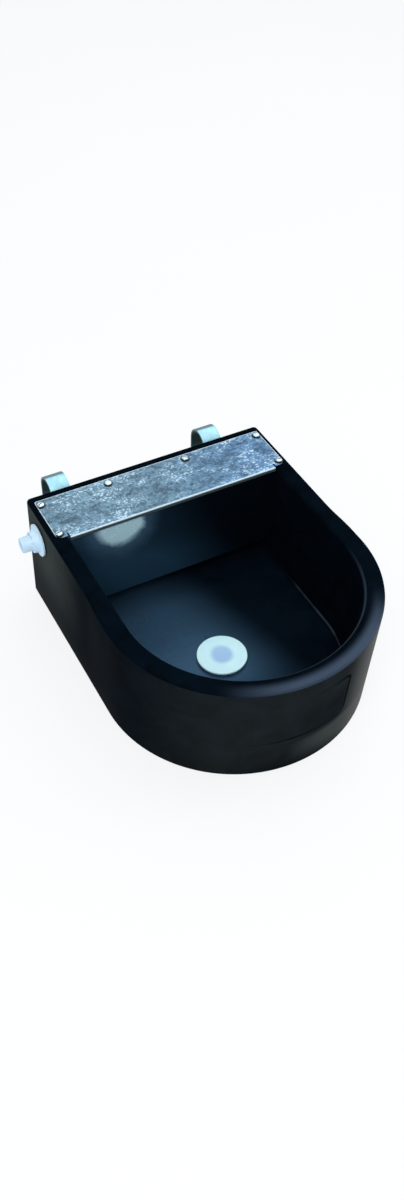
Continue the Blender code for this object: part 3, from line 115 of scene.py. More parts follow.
class BowlSettings(bpy.types.PropertyGroup):
    """Sizes and colours of the bowl moulding."""

    height: length("Height", "Base to rim", BODY_HIGH.z)
    rim_half_width: length("Rim half width", "Mid plane to the rim's outer edge", 0.1755)
    rim_bulge: length("Bulge", "How far the round front stands out past the straight sides", 0.003)
    round_centre: length("Round centre", "Centre of the round front, from the back edge", -0.268)
    base_flare: length("Base flare", "How far the base stands out past the rim", 0.0035)
    base_setback: length("Base setback", "How far the base's round sits behind the rim's", 0.014)
    rim_breadth: length("Rim breadth", "Outer edge to mouth", 0.0225)
    outer_edge: length("Outer edge", "Rounding of the rim's outer edge", 0.004)
    inner_edge: length("Inner edge", "Rounding of the rim's inner edge", 0.006)
    floor: length("Floor", "Height of the bowl's floor", 0.0147)
    floor_fillet: length("Floor fillet", "Rounding where the floor meets the walls", 0.006)
    panel_left: length("Panel left", "Left edge of the bare front panel", -0.070)
    panel_right: length("Panel right", "Right edge of the bare front panel", 0.058)
    panel_low: length("Panel low", "Lower edge of the bare front panel", 0.066)
    panel_high: length("Panel high", "Upper edge of the bare front panel", 0.142)
    panel_corner: length("Panel corner", "Corner radius of the bare front panel", 0.010)
    panel_relief: length("Panel relief", "How far the front panel stands out", 0.0009)
    plastic: tint("Plastic", "Colour of the black moulding", (0.0014, 0.0034, 0.0062))
    # The dust colour stands for dust on the outer walls and for painted light on them.
    dust: tint("Dust", "Colour of the dust dried on the outer walls", (0.048, 0.054, 0.052))
    # The film colour is a painted reflection of the sky on the bowl's floor.
    film: tint("Film", "Sheen of the wet film on the bowl's floor", (0.038, 0.084, 0.140))
    # The sheen is a painted highlight along the rim's outer rounding and the mouth's edge.
    sheen: tint("Sheen", "Sheen of the polished edge of the rim", (0.040, 0.058, 0.090))


class PlateSettings(bpy.types.PropertyGroup):
    """Sizes and colours of the cover plate."""

    sheet: length("Sheet", "Thickness of the sheet", 0.0015)
    front_lip: length("Front lip", "Depth of the folded front edge", 0.006)
    bend: length("Bend", "Radius of the fold", 0.0018)
    corner: length("Corner", "Radius of the front corners", 0.009)
    zinc: tint("Zinc", "Colour of the galvanised sheet", (0.096, 0.165, 0.220))
    bright: tint("Bright zinc", "Colour of the lightest zinc flakes", (0.42, 0.55, 0.64))
    # The edge colour is a painted highlight along the sheet's edges and fold.
    edge: tint("Edge", "Colour of the sheared edges", (0.62, 0.76, 0.84))


class ScrewSettings(bpy.types.PropertyGroup):
    """Sizes and colour of the cover screws."""

    head_radius: length("Head radius", "Radius of a pan head", 0.0050)
    head_height: length("Head height", "Height of a pan head", 0.0030)
    slot_width: length("Slot width", "Width of the screwdriver slot", 0.0014)
    slot_depth: length("Slot depth", "Depth of the screwdriver slot", 0.0013)
    zinc: tint("Zinc", "Colour of the plated steel", (0.60, 0.72, 0.78))


class HookSettings(bpy.types.PropertyGroup):
    """Sizes and colour of the two rail hooks."""

    width: length("Width", "Width of the strip", 0.028)
    thickness: length("Thickness", "Thickness of the strip", 0.003)
    rail_gap: length("Rail gap", "Room for the rail between the legs", 0.038)
    left: length("Left hook", "Middle of the left hook", -0.1235)
    right: length("Right hook", "Middle of the right hook", 0.1085)
    zinc: tint("Zinc", "Colour of the galvanised strip", (0.34, 0.62, 0.72))
    # The grime colour is painted shade inside the bend.
    grime: tint("Grime", "Colour of the grime inside the bend", (0.030, 0.065, 0.060))


class InletSettings(bpy.types.PropertyGroup):
    """Sizes and colour of the water inlet."""

    flange_radius: length("Flange radius", "Radius of the flange on the wall", 0.0225)
    collar_radius: length("Collar radius", "Radius of the collar", 0.0158)
    root_radius: length("Stub root", "Radius of the stub at the wall", 0.0118)
    bore: length("Bore", "Radius of the water way", 0.0065)
    nylon: tint("Nylon", "Colour of the white moulding", (0.58, 0.76, 0.90))


class BungSettings(bpy.types.PropertyGroup):
    """Sizes and colour of the drain bung."""

    radius: length("Radius", "Radius of the flange", 0.034)
    dish_radius: length("Dish radius", "Radius of the shallow dish", 0.0165)
    dish_depth: length("Dish depth", "Depth of the shallow dish", 0.0009)
    plastic: tint("Plastic", "Colour of the bung", (0.66, 0.94, 1.0))
    # The dish colour is painted shade down in the dish.
    dish: tint("Dish", "Colour down in the dish", (0.38, 0.60, 0.86))


class StageSettings(bpy.types.PropertyGroup):
    """The floor, the light and the camera."""

    floor: tint("Floor", "Colour of the floor", (0.86, 0.87, 0.88))
    sky: tint("Sky", "Colour of the soft light all round", (0.86, 0.93, 1.0))
    sky_strength: FloatProperty(
        name="Sky strength", description="Strength of the soft light all round", default=0.65, min=0
    )
    lens: FloatProperty(
        name="Lens", description="Focal length on a 36 mm long side", default=32.85, min=1, unit="CAMERA"
    )


SETTINGS = {
    "bowl": BowlSettings,
    "plate": PlateSettings,
    "screws": ScrewSettings,
    "hooks": HookSettings,
    "inlet": InletSettings,
    "bung": BungSettings,
    "stage": StageSettings,
}


class WatererSettings(bpy.types.PropertyGroup):
    """Everything about the waterer that a user can change."""

    bowl: PointerProperty(type=BowlSettings)
    plate: PointerProperty(type=PlateSettings)
    screws: PointerProperty(type=ScrewSettings)
    hooks: PointerProperty(type=HookSettings)
    inlet: PointerProperty(type=InletSettings)
    bung: PointerProperty(type=BungSettings)
    stage: PointerProperty(type=StageSettings)


def settings():
    """The waterer's settings in the open scene."""
    return bpy.context.scene.waterer


# Meshes and objects


def arc(centre, radius, start, end, steps):
    """Points on an arc, both ends included, with the angles in degrees."""
    angles = [math.radians(start + (end - start) * i / steps) for i in range(steps + 1)]
    return [(centre[0] + radius * math.cos(a), centre[1] + radius * math.sin(a)) for a in angles]


def quarter(steps):
    """Angles from 0 to 90 degrees, in radians."""
    return [math.pi / 2 * i / steps for i in range(steps + 1)]


def link(name, data):
    """A new object of the data in the scene."""
    obj = bpy.data.objects.new(name, data)
    bpy.context.scene.collection.objects.link(obj)
    return obj


def smooth(mesh, angle=32):
    """The mesh shaded smooth, but sharp where its faces meet at more than the angle."""
    mesh.shade_smooth()
    mesh.set_sharp_from_angle(angle=math.radians(angle))
    return mesh


def merge(shape, distance=1e-6):
    """Merges the points that lie closer together than the distance."""
    bmesh.ops.remove_doubles(shape, verts=shape.verts, dist=distance)


def face_out(shape):
    """Turns every face outwards."""
    bmesh.ops.recalc_face_normals(shape, faces=shape.faces)


def made(items, kind):
    """Those of one kind, vertices or edges, among what an operation made."""
    return [item for item in items if isinstance(item, kind)]


def edited(mesh, *steps, source=None):
    """The mesh after each step has worked on its own shape, or on the source's."""
    shape = bmesh.new()
    shape.from_mesh(source or mesh)
    for step in steps:
        step(shape)
    shape.to_mesh(mesh)
    shape.free()
    return mesh


def closed_mesh(name, build_in):
    """A mesh that build_in fills, with its faces turned outwards."""
    return smooth(edited(bpy.data.meshes.new(name), build_in, merge, face_out))


def lofted_mesh(name, rings):
    """Skins one ring of points to the next, and closes the first and the last."""

    def build_in(shape):
        loops = [[shape.verts.new(point) for point in ring] for ring in rings]
        for lower, upper in zip(loops, loops[1:]):
            for i in range(len(lower)):
                after = (i + 1) % len(lower)
                shape.faces.new((lower[i], lower[after], upper[after], upper[i]))
        shape.faces.new(reversed(loops[0]))
        shape.faces.new(loops[-1])

    return closed_mesh(name, build_in)


def turned_mesh(name, profile, sides, place=Matrix.Identity(4)):
    """Turns (radius, height) points about Z. A profile starts and ends on the axis, or is a closed ring."""

    def build_in(shape):
        rings = []
        for radius, height in profile:
            turned = arc((0, 0), radius, 0, 360 - 360 / sides, sides - 1) if radius > 1e-7 else [(0, 0)]
            rings.append([shape.verts.new(place @ Vector((x, y, height))) for x, y in turned])
        pairs = list(zip(rings, rings[1:]))
        if len(rings[0]) > 1:
            pairs.append((rings[-1], rings[0]))
        for one, two in pairs:
            for i in range(sides):
                after = (i + 1) % sides
                corners = (one[i % len(one)], one[after % len(one)], two[after % len(two)], two[i % len(two)])
                unique = list(dict.fromkeys(corners))
                if len(unique) > 2:
                    shape.faces.new(unique)

    return closed_mesh(name, build_in)


def rounded(points, radius, steps=4):
    """Rounds the sharp corners of an open profile by radius."""
    result = [points[0]]
    for before, corner, after in zip(points, points[1:], points[2:]):
        b, c, a = Vector(before), Vector(corner), Vector(after)
        one, two = b - c, a - c
        if one.length < 1e-9 or two.length < 1e-9:
            continue
        bend = math.pi - one.angle(two)
        if bend < 0.2:
            result.append(corner)
            continue
        reach = min(radius * math.tan(bend / 2), one.length * 0.45, two.length * 0.45)
        start, end = c + one.normalized() * reach, c + two.normalized() * reach
        for i in range(steps + 1):
            s = i / steps
            result.append(tuple(start * (1 - s) ** 2 + c * 2 * s * (1 - s) + end * s**2))
    result.append(points[-1])
    return result


def curve_mesh(name, lines, cyclic, **options):
    """The mesh of a curve that runs straight from point to point along each line."""
    curve = bpy.data.curves.new(name, "CURVE")
    for key, value in options.items():
        setattr(curve, key, value)
    for points in lines:
        spline = curve.splines.new("POLY")
        spline.points.add(len(points) - 1)
        for point, place in zip(spline.points, points):
            point.co = (*place, 1)
        spline.use_cyclic_u = cyclic
    mesh = baked_mesh(link(name, curve))
    bpy.data.curves.remove(curve)
    return edited(mesh, merge)


def tube_mesh(name, points, radius):
    """A round tube along the points, with closed ends."""
    mesh = curve_mesh(
        name, [points], False, dimensions="3D", bevel_depth=radius, bevel_resolution=3, use_fill_caps=True
    )
    return edited(mesh, face_out)


def outlined_mesh(name, outlines, thickness, place=Matrix.Identity(4)):
    """A flat plate with holes, centred on its own XY plane and put in place."""
    lines = [[(x, y, 0) for x, y in points] for points in outlines]
    mesh = curve_mesh(name, lines, True, dimensions="2D", fill_mode="BOTH", extrude=thickness / 2)
    if thickness:
        edited(mesh, face_out)
    mesh.transform(place)
    return mesh


def bars_mesh(name, bars, sides):
    """Round bars in one mesh, each given as start, end and radius."""

    def build_in(shape):
        for start, end, radius in bars:
            start, end = Vector(start), Vector(end)
            turn = Vector((0, 0, 1)).rotation_difference(end - start).to_matrix().to_4x4()
            bmesh.ops.create_cone(
                shape,
                cap_ends=True,
                segments=sides,
                radius1=radius,
                radius2=radius,
                depth=(end - start).length,
                matrix=Matrix.Translation((start + end) / 2) @ turn,
            )

    return closed_mesh(name, build_in)


def baked_mesh(obj):
    """The object's evaluated shape as a plain mesh; the object goes."""
    graph = bpy.context.evaluated_depsgraph_get()
    mesh = bpy.data.meshes.new_from_object(obj.evaluated_get(graph))
    mesh.name = obj.name
    data, is_mesh = obj.data, obj.type == "MESH"
    bpy.data.objects.remove(obj)
    if is_mesh and data.users == 0:
        bpy.data.meshes.remove(data)
    return mesh


def clean_up(shape):
    """Takes out the doubles and slivers that a Boolean leaves."""
    merge(shape, 2e-6)
    bmesh.ops.dissolve_degenerate(shape, edges=shape.edges, dist=1e-6)


def cut(obj, cuts):
    """Works Booleans into the object: cuts are (operation, mesh)."""
    name, helpers = obj.name, []
    for number, (operation, mesh) in enumerate(cuts):
        helper = link(f"{name}_helper_{number}", mesh)
        helpers.append(helper)
        modifier = obj.modifiers.new(helper.name, "BOOLEAN")
        modifier.operation = operation
        modifier.solver = "EXACT"
        modifier.object = helper
    mesh = baked_mesh(obj)
    for helper in helpers:
        data = helper.data
        bpy.data.objects.remove(helper)
        bpy.data.meshes.remove(data)
    return link(name, smooth(edited(mesh, clean_up), 30))


def bevelled(obj, width, segments, angle):
    """Eases the edges that are sharper than the angle."""
    modifier = obj.modifiers.new("edges", "BEVEL")
    modifier.width = width
    modifier.segments = segments
    modifier.limit_method = "ANGLE"
    modifier.angle_limit = math.radians(angle)
    return obj


def solidified(obj, thickness, offset):
    """Gives a thin surface its thickness: offset 0 is both ways, -1 is inwards."""
    modifier = obj.modifiers.new("sheet", "SOLIDIFY")
    modifier.thickness = thickness
    modifier.offset = offset
    return obj


def dress(obj, finish, replaced=(), body="bowl"):
    """Gives a piece its finish, hangs it under the empty of the body that it rides on, and hides the CAD
    parts that it stands for.
    """
    obj.data.materials.clear()
    obj.data.materials.append(finish())
    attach(obj, body)
    if replaced:
        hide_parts(*replaced)
    return obj


def join_faces(shape):
    """Merges the doubles of a CAD solid and joins the faces that lie flat together."""
    merge(shape, 2e-6)
    bmesh.ops.dissolve_limit(shape, angle_limit=math.radians(0.5), verts=shape.verts, edges=shape.edges)


def refine(nodes, finish, body="bowl", edge=0.0):
    """Smooth copies of CAD solids, with their edges eased when an edge width is given."""
    for node in nodes:
        name = f"{node}_finished"
        mesh = edited(bpy.data.meshes.new(name), join_faces, source=NODES[node].data)
        obj = link(name, smooth(mesh, 35))
        if edge:
            bevelled(obj, edge, 2, 50)
        dress(obj, finish, [node], body)


# Shader nodes


def add_node(tree, kind, inputs=None, **options):
    """A node with its options set and its inputs given a value or a link."""
    node = tree.nodes.new(kind)
    for key, value in options.items():
        setattr(node, key, value)
    for key, value in (inputs or {}).items():
        if isinstance(value, Field):
            value = value.socket
        if isinstance(value, bpy.types.NodeSocket):
            tree.links.new(value, node.inputs[key])
        else:
            node.inputs[key].default_value = value
    return node


class Field:
    """A value that changes over the surface. Arithmetic on it adds nodes to its tree."""

    def __init__(self, tree, socket):
        self.tree = tree
        self.socket = socket

    def through(self, kind, inputs, **options):
        """What comes out of a new node with these inputs."""
        return Field(self.tree, add_node(self.tree, kind, inputs, **options).outputs[0])

    def maths(self, operation, other=0.0, clamp=False):
        return self.through("ShaderNodeMath", {0: self, 1: other}, operation=operation, use_clamp=clamp)

    def __add__(self, other):
        return self.maths("ADD", other)

    def __sub__(self, other):
        return self.maths("SUBTRACT", other)

    def __mul__(self, other):
        return self.maths("MULTIPLY", other)

    def __truediv__(self, other):
        return self.maths("DIVIDE", other)

    def __abs__(self):
        return self.maths("ABSOLUTE")

    def larger(self, other):
        return self.maths("MAXIMUM", other)

    def smaller(self, other):
        return self.maths("MINIMUM", other)

    def beside(self, other):
        """How long the slope is whose two sides are this field and the other."""
        return (self * self + other * other).maths("SQRT")

    def vector(self, operation, other):
        return self.through("ShaderNodeVectorMath", {0: self, 1: other}, operation=operation)

    def ramp(self, low, high, to_low=0.0, to_high=1.0, kind="SMOOTHSTEP"):
        """Eases from to_low to to_high while the field goes from low to high."""
        inputs = {"Value": self, "From Min": low, "From Max": high, "To Min": to_low, "To Max": to_high}
        return self.through("ShaderNodeMapRange", inputs, interpolation_type=kind)

    def scaled(self, low, high, to_low, to_high):
        """The same in a straight line."""
        return self.ramp(low, high, to_low, to_high, "LINEAR")


def mixed(factor, one, two, blend="MIX"):
    """One colour turned to the other by the factor. Each may be plain, but not all three."""
    tree = next(item.tree for item in (factor, one, two) if isinstance(item, Field))
    one, two = (item if isinstance(item, Field) else (*item[:3], 1) for item in (one, two))
    node = add_node(tree, "ShaderNodeMix", {0: factor, 6: one, 7: two}, data_type="RGBA", blend_type=blend)
    return Field(tree, node.outputs[2])


def coated(color, *coats):
    """The colour with each coat laid over it in turn; a coat is a factor and a colour."""
    for factor, coat in coats:
        color = mixed(factor, color, coat)
    return color


def shades(color, *factors):
    """The colour made darker or lighter by each factor."""
    return [[min(1.0, factor * part) for part in color] for factor in factors]


def noise(place, scale, detail=2.0, roughness=0.5, distortion=0.0, output="Fac"):
    """Noise over the place, the same on each run."""
    inputs = {"Vector": place, "Scale": scale, "Detail": detail, "Roughness": roughness}
    node = add_node(place.tree, "ShaderNodeTexNoise", {**inputs, "Distortion": distortion})
    return Field(place.tree, node.outputs[output])


def place_of(tree):
    """Where a point lies, in object coordinates."""
    return Field(tree, add_node(tree, "ShaderNodeTexCoord").outputs["Object"])


def split(tree, vector):
    """The X, Y and Z of a vector."""
    outputs = add_node(tree, "ShaderNodeSeparateXYZ", {0: vector}).outputs
    return [Field(tree, outputs[axis]) for axis in "XYZ"]


def normal_of(tree):
    """The X, Y and Z of the way that a point faces."""
    return split(tree, add_node(tree, "ShaderNodeNewGeometry").outputs["Normal"])


def moulded_grain(tree, given):
    """Fine moulded grain, a slow unevenness of the wall and a soft change of tone."""
    place = place_of(tree)
    fine = noise(place, given["Pitch"], 3.0, 0.6)
    cells = {"Vector": place, "Scale": given["Pitch"], "Smoothness": 0.6}
    pebble = place.through("ShaderNodeTexVoronoi", cells, feature="SMOOTH_F1")
    return {
        "Height": fine + pebble * 0.8 + noise(place, 11.0, 1.0) * given["Waviness"],
        "Tone": noise(place, 26.0, 4.0, 0.62, 0.6),
        "Speckle": fine.ramp(0.58, 0.72),
    }


def edge_wear(tree, given):
    """Where edges are rubbed, broken up by a coarse noise."""
    pointed = Field(tree, add_node(tree, "ShaderNodeNewGeometry").outputs["Pointiness"])
    patchy = noise(place_of(tree), 90.0, 5.0, 0.7).ramp(0.35, 0.65)
    return {"Mask": pointed.ramp(given["Start"], given["End"]) * patchy}


def settled_film(tree, given):
    """A thin film that settles in patches on what faces up."""
    patch = noise(place_of(tree), given["Patches"], 5.0, 0.65, 0.8).ramp(0.30, 0.72)
    return {"Mask": normal_of(tree)[2].ramp(0.25, 0.95) * patch * given["Amount"]}


def zinc_spangle(tree, given):
    """Zinc flakes of uneven tone, with cloudy stains over them."""
    place = place_of(tree).vector("MULTIPLY", given["Stretch"])
    swirl = noise(place, 160.0, output="Color").vector("MULTIPLY", (0.006, 0.006, 0.006))
    moved = place.vector("ADD", swirl)

    def flake_tone(scale, channel):
        cells = add_node(tree, "ShaderNodeTexVoronoi", {"Vector": moved, "Scale": scale}).outputs["Color"]
        return Field(tree, add_node(tree, "ShaderNodeSeparateColor", {0: cells}).outputs[channel])

    flake, chip = flake_tone(given["Flake"], 0), flake_tone(given["Flake"] * 2.7, 1)
    cloud = noise(place, 17.0, 6.0, 0.60, 0.7)
    return {
        "Tone": flake * 0.26 + chip * 0.20 + cloud * 0.78,
        "Fleck": chip.ramp(0.66, 0.94) * cloud.ramp(0.40, 0.62),
        "Height": flake + chip,
    }


EFFECTS = {
    moulded_grain: {"Pitch": 900.0, "Waviness": 2.0},
    edge_wear: {"Start": 0.53, "End": 0.62},
    settled_film: {"Amount": 0.5, "Patches": 18.0},
    zinc_spangle: {"Flake": 150.0, "Stretch": (1.0, 1.0, 1.0)},
}


@functools.cache
def shader_group(effect):
    """The node group of a shared effect, with its inputs and outputs named."""
    tree = bpy.data.node_groups.new(effect.__name__, "ShaderNodeTree")
    for label, value in EFFECTS[effect].items():
        kind = "NodeSocketFloat" if isinstance(value, float) else "NodeSocketVector"
        tree.interface.new_socket(label, in_out="INPUT", socket_type=kind).default_value = value
    given = tree.nodes.new("NodeGroupInput").outputs
    result = tree.nodes.new("NodeGroupOutput").inputs
    fields = effect(tree, {label: Field(tree, given[label]) for label in EFFECTS[effect]})
    for label, field in fields.items():
        tree.interface.new_socket(label, in_out="OUTPUT", socket_type="NodeSocketFloat")
        tree.links.new(field.socket, result[label])
    return tree


class Finish:
    """A material in the making, with the plain values of its surface."""

    def __init__(self, name, color, roughness, metallic=0.0, **sockets):
        self.material = bpy.data.materials.new(name)
        self.material.use_nodes = True
        self.material.diffuse_color = (*color[:3], 1)
        self.tree = self.material.node_tree
        self.surface = self.tree.nodes["Principled BSDF"].inputs
        plain = {"Base_Color": (*color[:3], 1), "Roughness": roughness, "Metallic": metallic, **sockets}
        for key, value in plain.items():
            self.surface[key.replace("_", " ")].default_value = value

    @functools.cached_property
    def axes(self):
        """The X, Y and Z of a point, in object coordinates."""
        return split(self.tree, place_of(self.tree))

    @functools.cached_property
    def normal(self):
        """The X, Y and Z of the way that a point faces."""
        return normal_of(self.tree)

    def effect(self, effect, **values):
        """Places a shared effect with these values, and gives its outputs."""
        node = self.tree.nodes.new("ShaderNodeGroup")
        node.node_tree = shader_group(effect)
        for label, value in values.items():
            node.inputs[label].default_value = value
        return {socket.name: Field(self.tree, socket) for socket in node.outputs}

    def away_from(self, x, y):
        """How far a point lies from an upright axis, seen from above, and the two parts of it."""
        across, along = self.axes[0] - x, self.axes[1] - y
        return across.beside(along), across, along

    def feed(self, label, field):
        """Links a field to the surface's socket with this label."""
        self.tree.links.new(field.socket, self.surface[label])

    def done(self, color, rough, effect, depth):
        """Feeds colour, roughness and the effect's bump. A plain pair of roughness follows its tone."""
        if not isinstance(rough, Field):
            rough = effect["Tone"].scaled(0.2, 0.8, *rough)
        self.feed("Base Color", color)
        self.feed("Roughness", rough)
        bump = add_node(self.tree, "ShaderNodeBump", {"Height": effect["Height"], "Distance": depth})
        self.tree.links.new(bump.outputs[0], self.surface["Normal"])
        return self.material


# Finishes


def outside_measure(black, bowl):
    """More than nought outside the middle of the rim, less inside it."""
    (x, y, _), back_rim = black.axes, -0.008
    past = (y - bowl.round_centre).smaller(0.0)
    side = x.beside(past) - (bowl.rim_half_width - bowl.rim_breadth / 2)
    return side.larger(y - back_rim)


def panel_measure(black, bowl):
    """Less than nought inside the front panel's rounded outline, more outside it."""
    (x, _, z), parts = black.axes, []
    for axis, low, high in ((x, bowl.panel_left, bowl.panel_right), (z, bowl.panel_low, bowl.panel_high)):
        parts.append(abs(axis - (low + high) / 2) - ((high - low) / 2 - bowl.panel_corner))
    across, up = parts
    corner = across.larger(0.0).beside(up.larger(0.0))
    return corner + across.larger(up).smaller(0.0) - bowl.panel_corner


@functools.cache
def bowl_plastic():
    """Black polyethylene: dust and painted light on the outer walls, a painted shadow line along the panel's
    lower and right edges, a painted sky reflection on the floor, a painted highlight on the rim.
    """
    bowl = settings().bowl
    black = Finish("black_polyethylene", bowl.plastic, 0.42, IOR=1.45, Specular_IOR_Level=0.001)
    grain = black.effect(moulded_grain, Pitch=1300.0, Waviness=5.0)
    worn = black.effect(edge_wear, Start=0.53, End=0.63)["Mask"]
    (x, y, z), up, tone = black.axes, black.normal[2], grain["Tone"]
    away, across, along = black.away_from(0.0, bowl.round_centre)
    outside, panel = outside_measure(black, bowl), panel_measure(black, bowl)
    ahead, round_front = along.ramp(0.0, -0.05), along.ramp(-0.025, -0.135)

    # Painted reflection of the sky on the floor: lighter to the left and front, with painted shade towards
    # the right wall and the baffle.
    lying = z.ramp(bowl.floor + 0.0040, bowl.floor + 0.0004) * up.ramp(0.93, 0.995)
    lit = (x + along * 0.25).ramp(-0.02, 0.085, 1.0, 0.03)
    reflecting = lying * lit * y.ramp(-0.092, -0.142, 0.4, 1.0) * along.ramp(0.02, -0.08, 1.0, 0.38)

    # Painted highlight on the rim's outer rounding at the front, fading towards the right, and a painted
    # glint along the mouth's edge.
    half = bowl.rim_half_width
    forward = (across * 0.25 - along) / away
    highlighted = away.ramp(half - 0.016, half - 0.004) * forward.ramp(0.62, 1.0)
    highlighted = highlighted * up.ramp(0.02, 0.40, 0.0, 0.8) * x.ramp(0.12, 0.16, 1.0, 0.0)
    glint = abs(away - (half - bowl.rim_breadth + 0.0012)).ramp(0.0020, 0.0008)
    glint = glint * z.ramp(bowl.height - 0.006, bowl.height - 0.003) * forward.ramp(0.2, 0.9, 0.0, 0.6)
    highlighted = highlighted.larger(glint)

    # Dust and painted light on the outer walls: lighter at the back-left, the front-right, below the panel
    # and towards the front, and less of it inside the panel, where painted shade falls.
    wall = up.ramp(0.35, 0.10) * outside.ramp(0.0, 0.004)
    back_left = y.ramp(-0.20, -0.05) * x.ramp(0.0, -0.16) * z.ramp(0.02, 0.13, 0.30, 1.0)
    front_right = x.ramp(0.02, 0.15) * round_front * 0.9
    below = z.ramp(bowl.panel_low, bowl.panel_low - 0.02) * x.ramp(-0.06, 0.07, 0.0, 1.2) * round_front
    painted_light_haze = back_left.larger(front_right.larger(below)).larger(y.ramp(-0.30, -0.42, 0.04, 0.22))
    dust_and_light_mask = (painted_light_haze * tone.scaled(0.25, 0.75, 0.8, 1.2)).maths("MULTIPLY", wall, True)
    shaded = panel.ramp(0.001, -0.001) * ahead * x.ramp(bowl.panel_left, bowl.panel_right)
    shaded = shaded * z.ramp(bowl.panel_high, bowl.panel_low + 0.03)
    # Painted light on the wall to the right of the panel.
    painted_light_right = x.ramp(0.045, 0.12) * panel.ramp(0.0, 0.003) * round_front
    # Painted shadow: a dark line along the panel's lower and right edges.
    low_right = z.ramp(bowl.panel_low + 0.03, bowl.panel_low + 0.01).larger(
        x.ramp(bowl.panel_right - 0.03, bowl.panel_right - 0.01)
    )
    line = abs(panel).ramp(0.0025, 0.0015) * low_right * ahead
    line = line * x.ramp(bowl.panel_left, bowl.panel_left + 0.05)
    off_panel = panel.ramp(0.004, 0.008).larger(ahead.ramp(1.0, 0.0))
    # Painted highlight along the foot of the right inner wall, where it meets the floor.
    crease_highlight = abs(z - (bowl.floor + 0.0030)).ramp(0.0019, 0.0006) * outside.ramp(0.0, -0.004)
    crease_highlight = crease_highlight * x.ramp(0.05, 0.08) * y.ramp(-0.155, -0.205) * tone.ramp(0.35, 0.6, 0.5, 1.0)

    color = coated(
        mixed(tone.ramp(0.3, 0.7), *shades(bowl.plastic, 0.75, 1.35)),
        (dust_and_light_mask * shaded.ramp(0.0, 1.0, 1.0, 0.55), bowl.dust),
        (painted_light_right * wall * 0.8, (0.135, 0.132, 0.125)),
        # painted shadow along the panel's lower and right edges
        (line, (0.001, 0.002, 0.002)),
        (worn * off_panel * 0.4, (0.02, 0.03, 0.04)),
        (crease_highlight, (0.034, 0.046, 0.058)),
        (reflecting, bowl.film),
        (highlighted, bowl.sheen),
    )
    black.feed("Metallic", (reflecting * 0.3).larger(highlighted))
    return black.done(color, tone.scaled(0.25, 0.75, 0.38, 0.50) - reflecting * 0.16, grain, 0.00005)


@functools.cache
def baffle_plastic():
    """The same black plastic with a coarser pebble, painted light to the left and lower down, and a pale
    painted highlight with a soft halo near its top.
    """
    plastic = settings().bowl.plastic
    black = Finish("pebbled_black_plastic", plastic, 0.36, IOR=1.45, Specular_IOR_Level=0.06)
    grain = black.effect(moulded_grain, Pitch=330.0, Waviness=2.0)
    (x, _, z), tone = black.axes, grain["Tone"]
    wide, deep = BAFFLE_HIGHLIGHT_REACH
    reach = ((x - BAFFLE_HIGHLIGHT_X) / wide).beside((z - (BAFFLE_HIGH.z - BAFFLE_HIGHLIGHT_DROP)) / deep)
    ragged = reach + (tone - 0.5) * 0.6
    # Painted light on the baffle: lighter to the left and lower down.
    painted_light_left = (x + z * 0.5).ramp(0.135, -0.045)
    low = z.ramp(BAFFLE_HIGH.z - 0.04, BAFFLE_LOW.z + 0.02, 0.75, 1.5)
    # Painted highlight near the baffle's top, speckled, with a soft painted halo round it.
    painted_highlight = ragged.ramp(1.16, 0.74) * grain["Speckle"].ramp(0.0, 0.6, 0.72, 1.0)
    color = coated(
        plastic,
        (painted_light_left * low, (0.016, 0.045, 0.078)),
        (ragged.ramp(1.9, 0.8, 0.0, 0.4), (0.10, 0.20, 0.32)),
        (painted_highlight, (0.64, 0.92, 1.0)),
    )
    return black.done(color, (0.30, 0.46), grain, 0.00012)


@functools.cache
def sheet_zinc():
    """Galvanised sheet: blue-grey spangle with pale flecks, painted shade to the right, round the screws and
    on the lip's face, and a painted highlight at its edges.
    """
    plate = settings().plate
    sheet = Finish("galvanised_sheet", plate.zinc, 0.42, 1.0)
    spangle = sheet.effect(zinc_spangle, Flake=140.0, Stretch=(1.0, 1.4, 1.0))
    toned = mixed(spangle["Tone"].ramp(0.32, 0.84), *shades(plate.zinc, 0.55, 1.5))
    # A darker, bluer copy of the sheet's tone, laid on towards the right as painted shade.
    shaded_tone = mixed(1.0, toned, (0.72, 0.84, 1.06), "MULTIPLY")
    x, y, z = sheet.axes
    # Painted highlight along the sheet's edges and fold, made less metallic so that it stays bright; the
    # lip's face below the fold gets painted shade.
    past = (abs(x) - PLATE_HIGH.x).larger(y - PLATE_HIGH.y)
    lip = y.ramp(PLATE_LOW.y + 0.0024, PLATE_LOW.y + 0.0010)
    edge = past.ramp(-0.0010, -0.0004).larger(lip)
    near = functools.reduce(Field.smaller, [sheet.away_from(at.x, at.y)[0] for at in screw_centres()])
    color = coated(
        mixed(x.ramp(-0.05, 0.16), toned, shaded_tone),
        (spangle["Fleck"] * 0.9, plate.bright),
        # painted shade in a ring round each screw head
        (near.ramp(0.0078, 0.0058, 0.0, 0.85), (0.012, 0.020, 0.026)),
        (edge * 0.85, plate.edge),
        (lip * z.ramp(PLATE_HIGH.z - 0.0008, PLATE_HIGH.z - 0.0022, 0.0, 0.92), (0.02, 0.03, 0.036)),
    )
    sheet.feed("Metallic", edge.scaled(0.0, 1.0, 1.0, 0.25))
    return sheet.done(color, spangle["Tone"].scaled(0.2, 0.9, 0.50, 0.30), spangle, 0.00004)


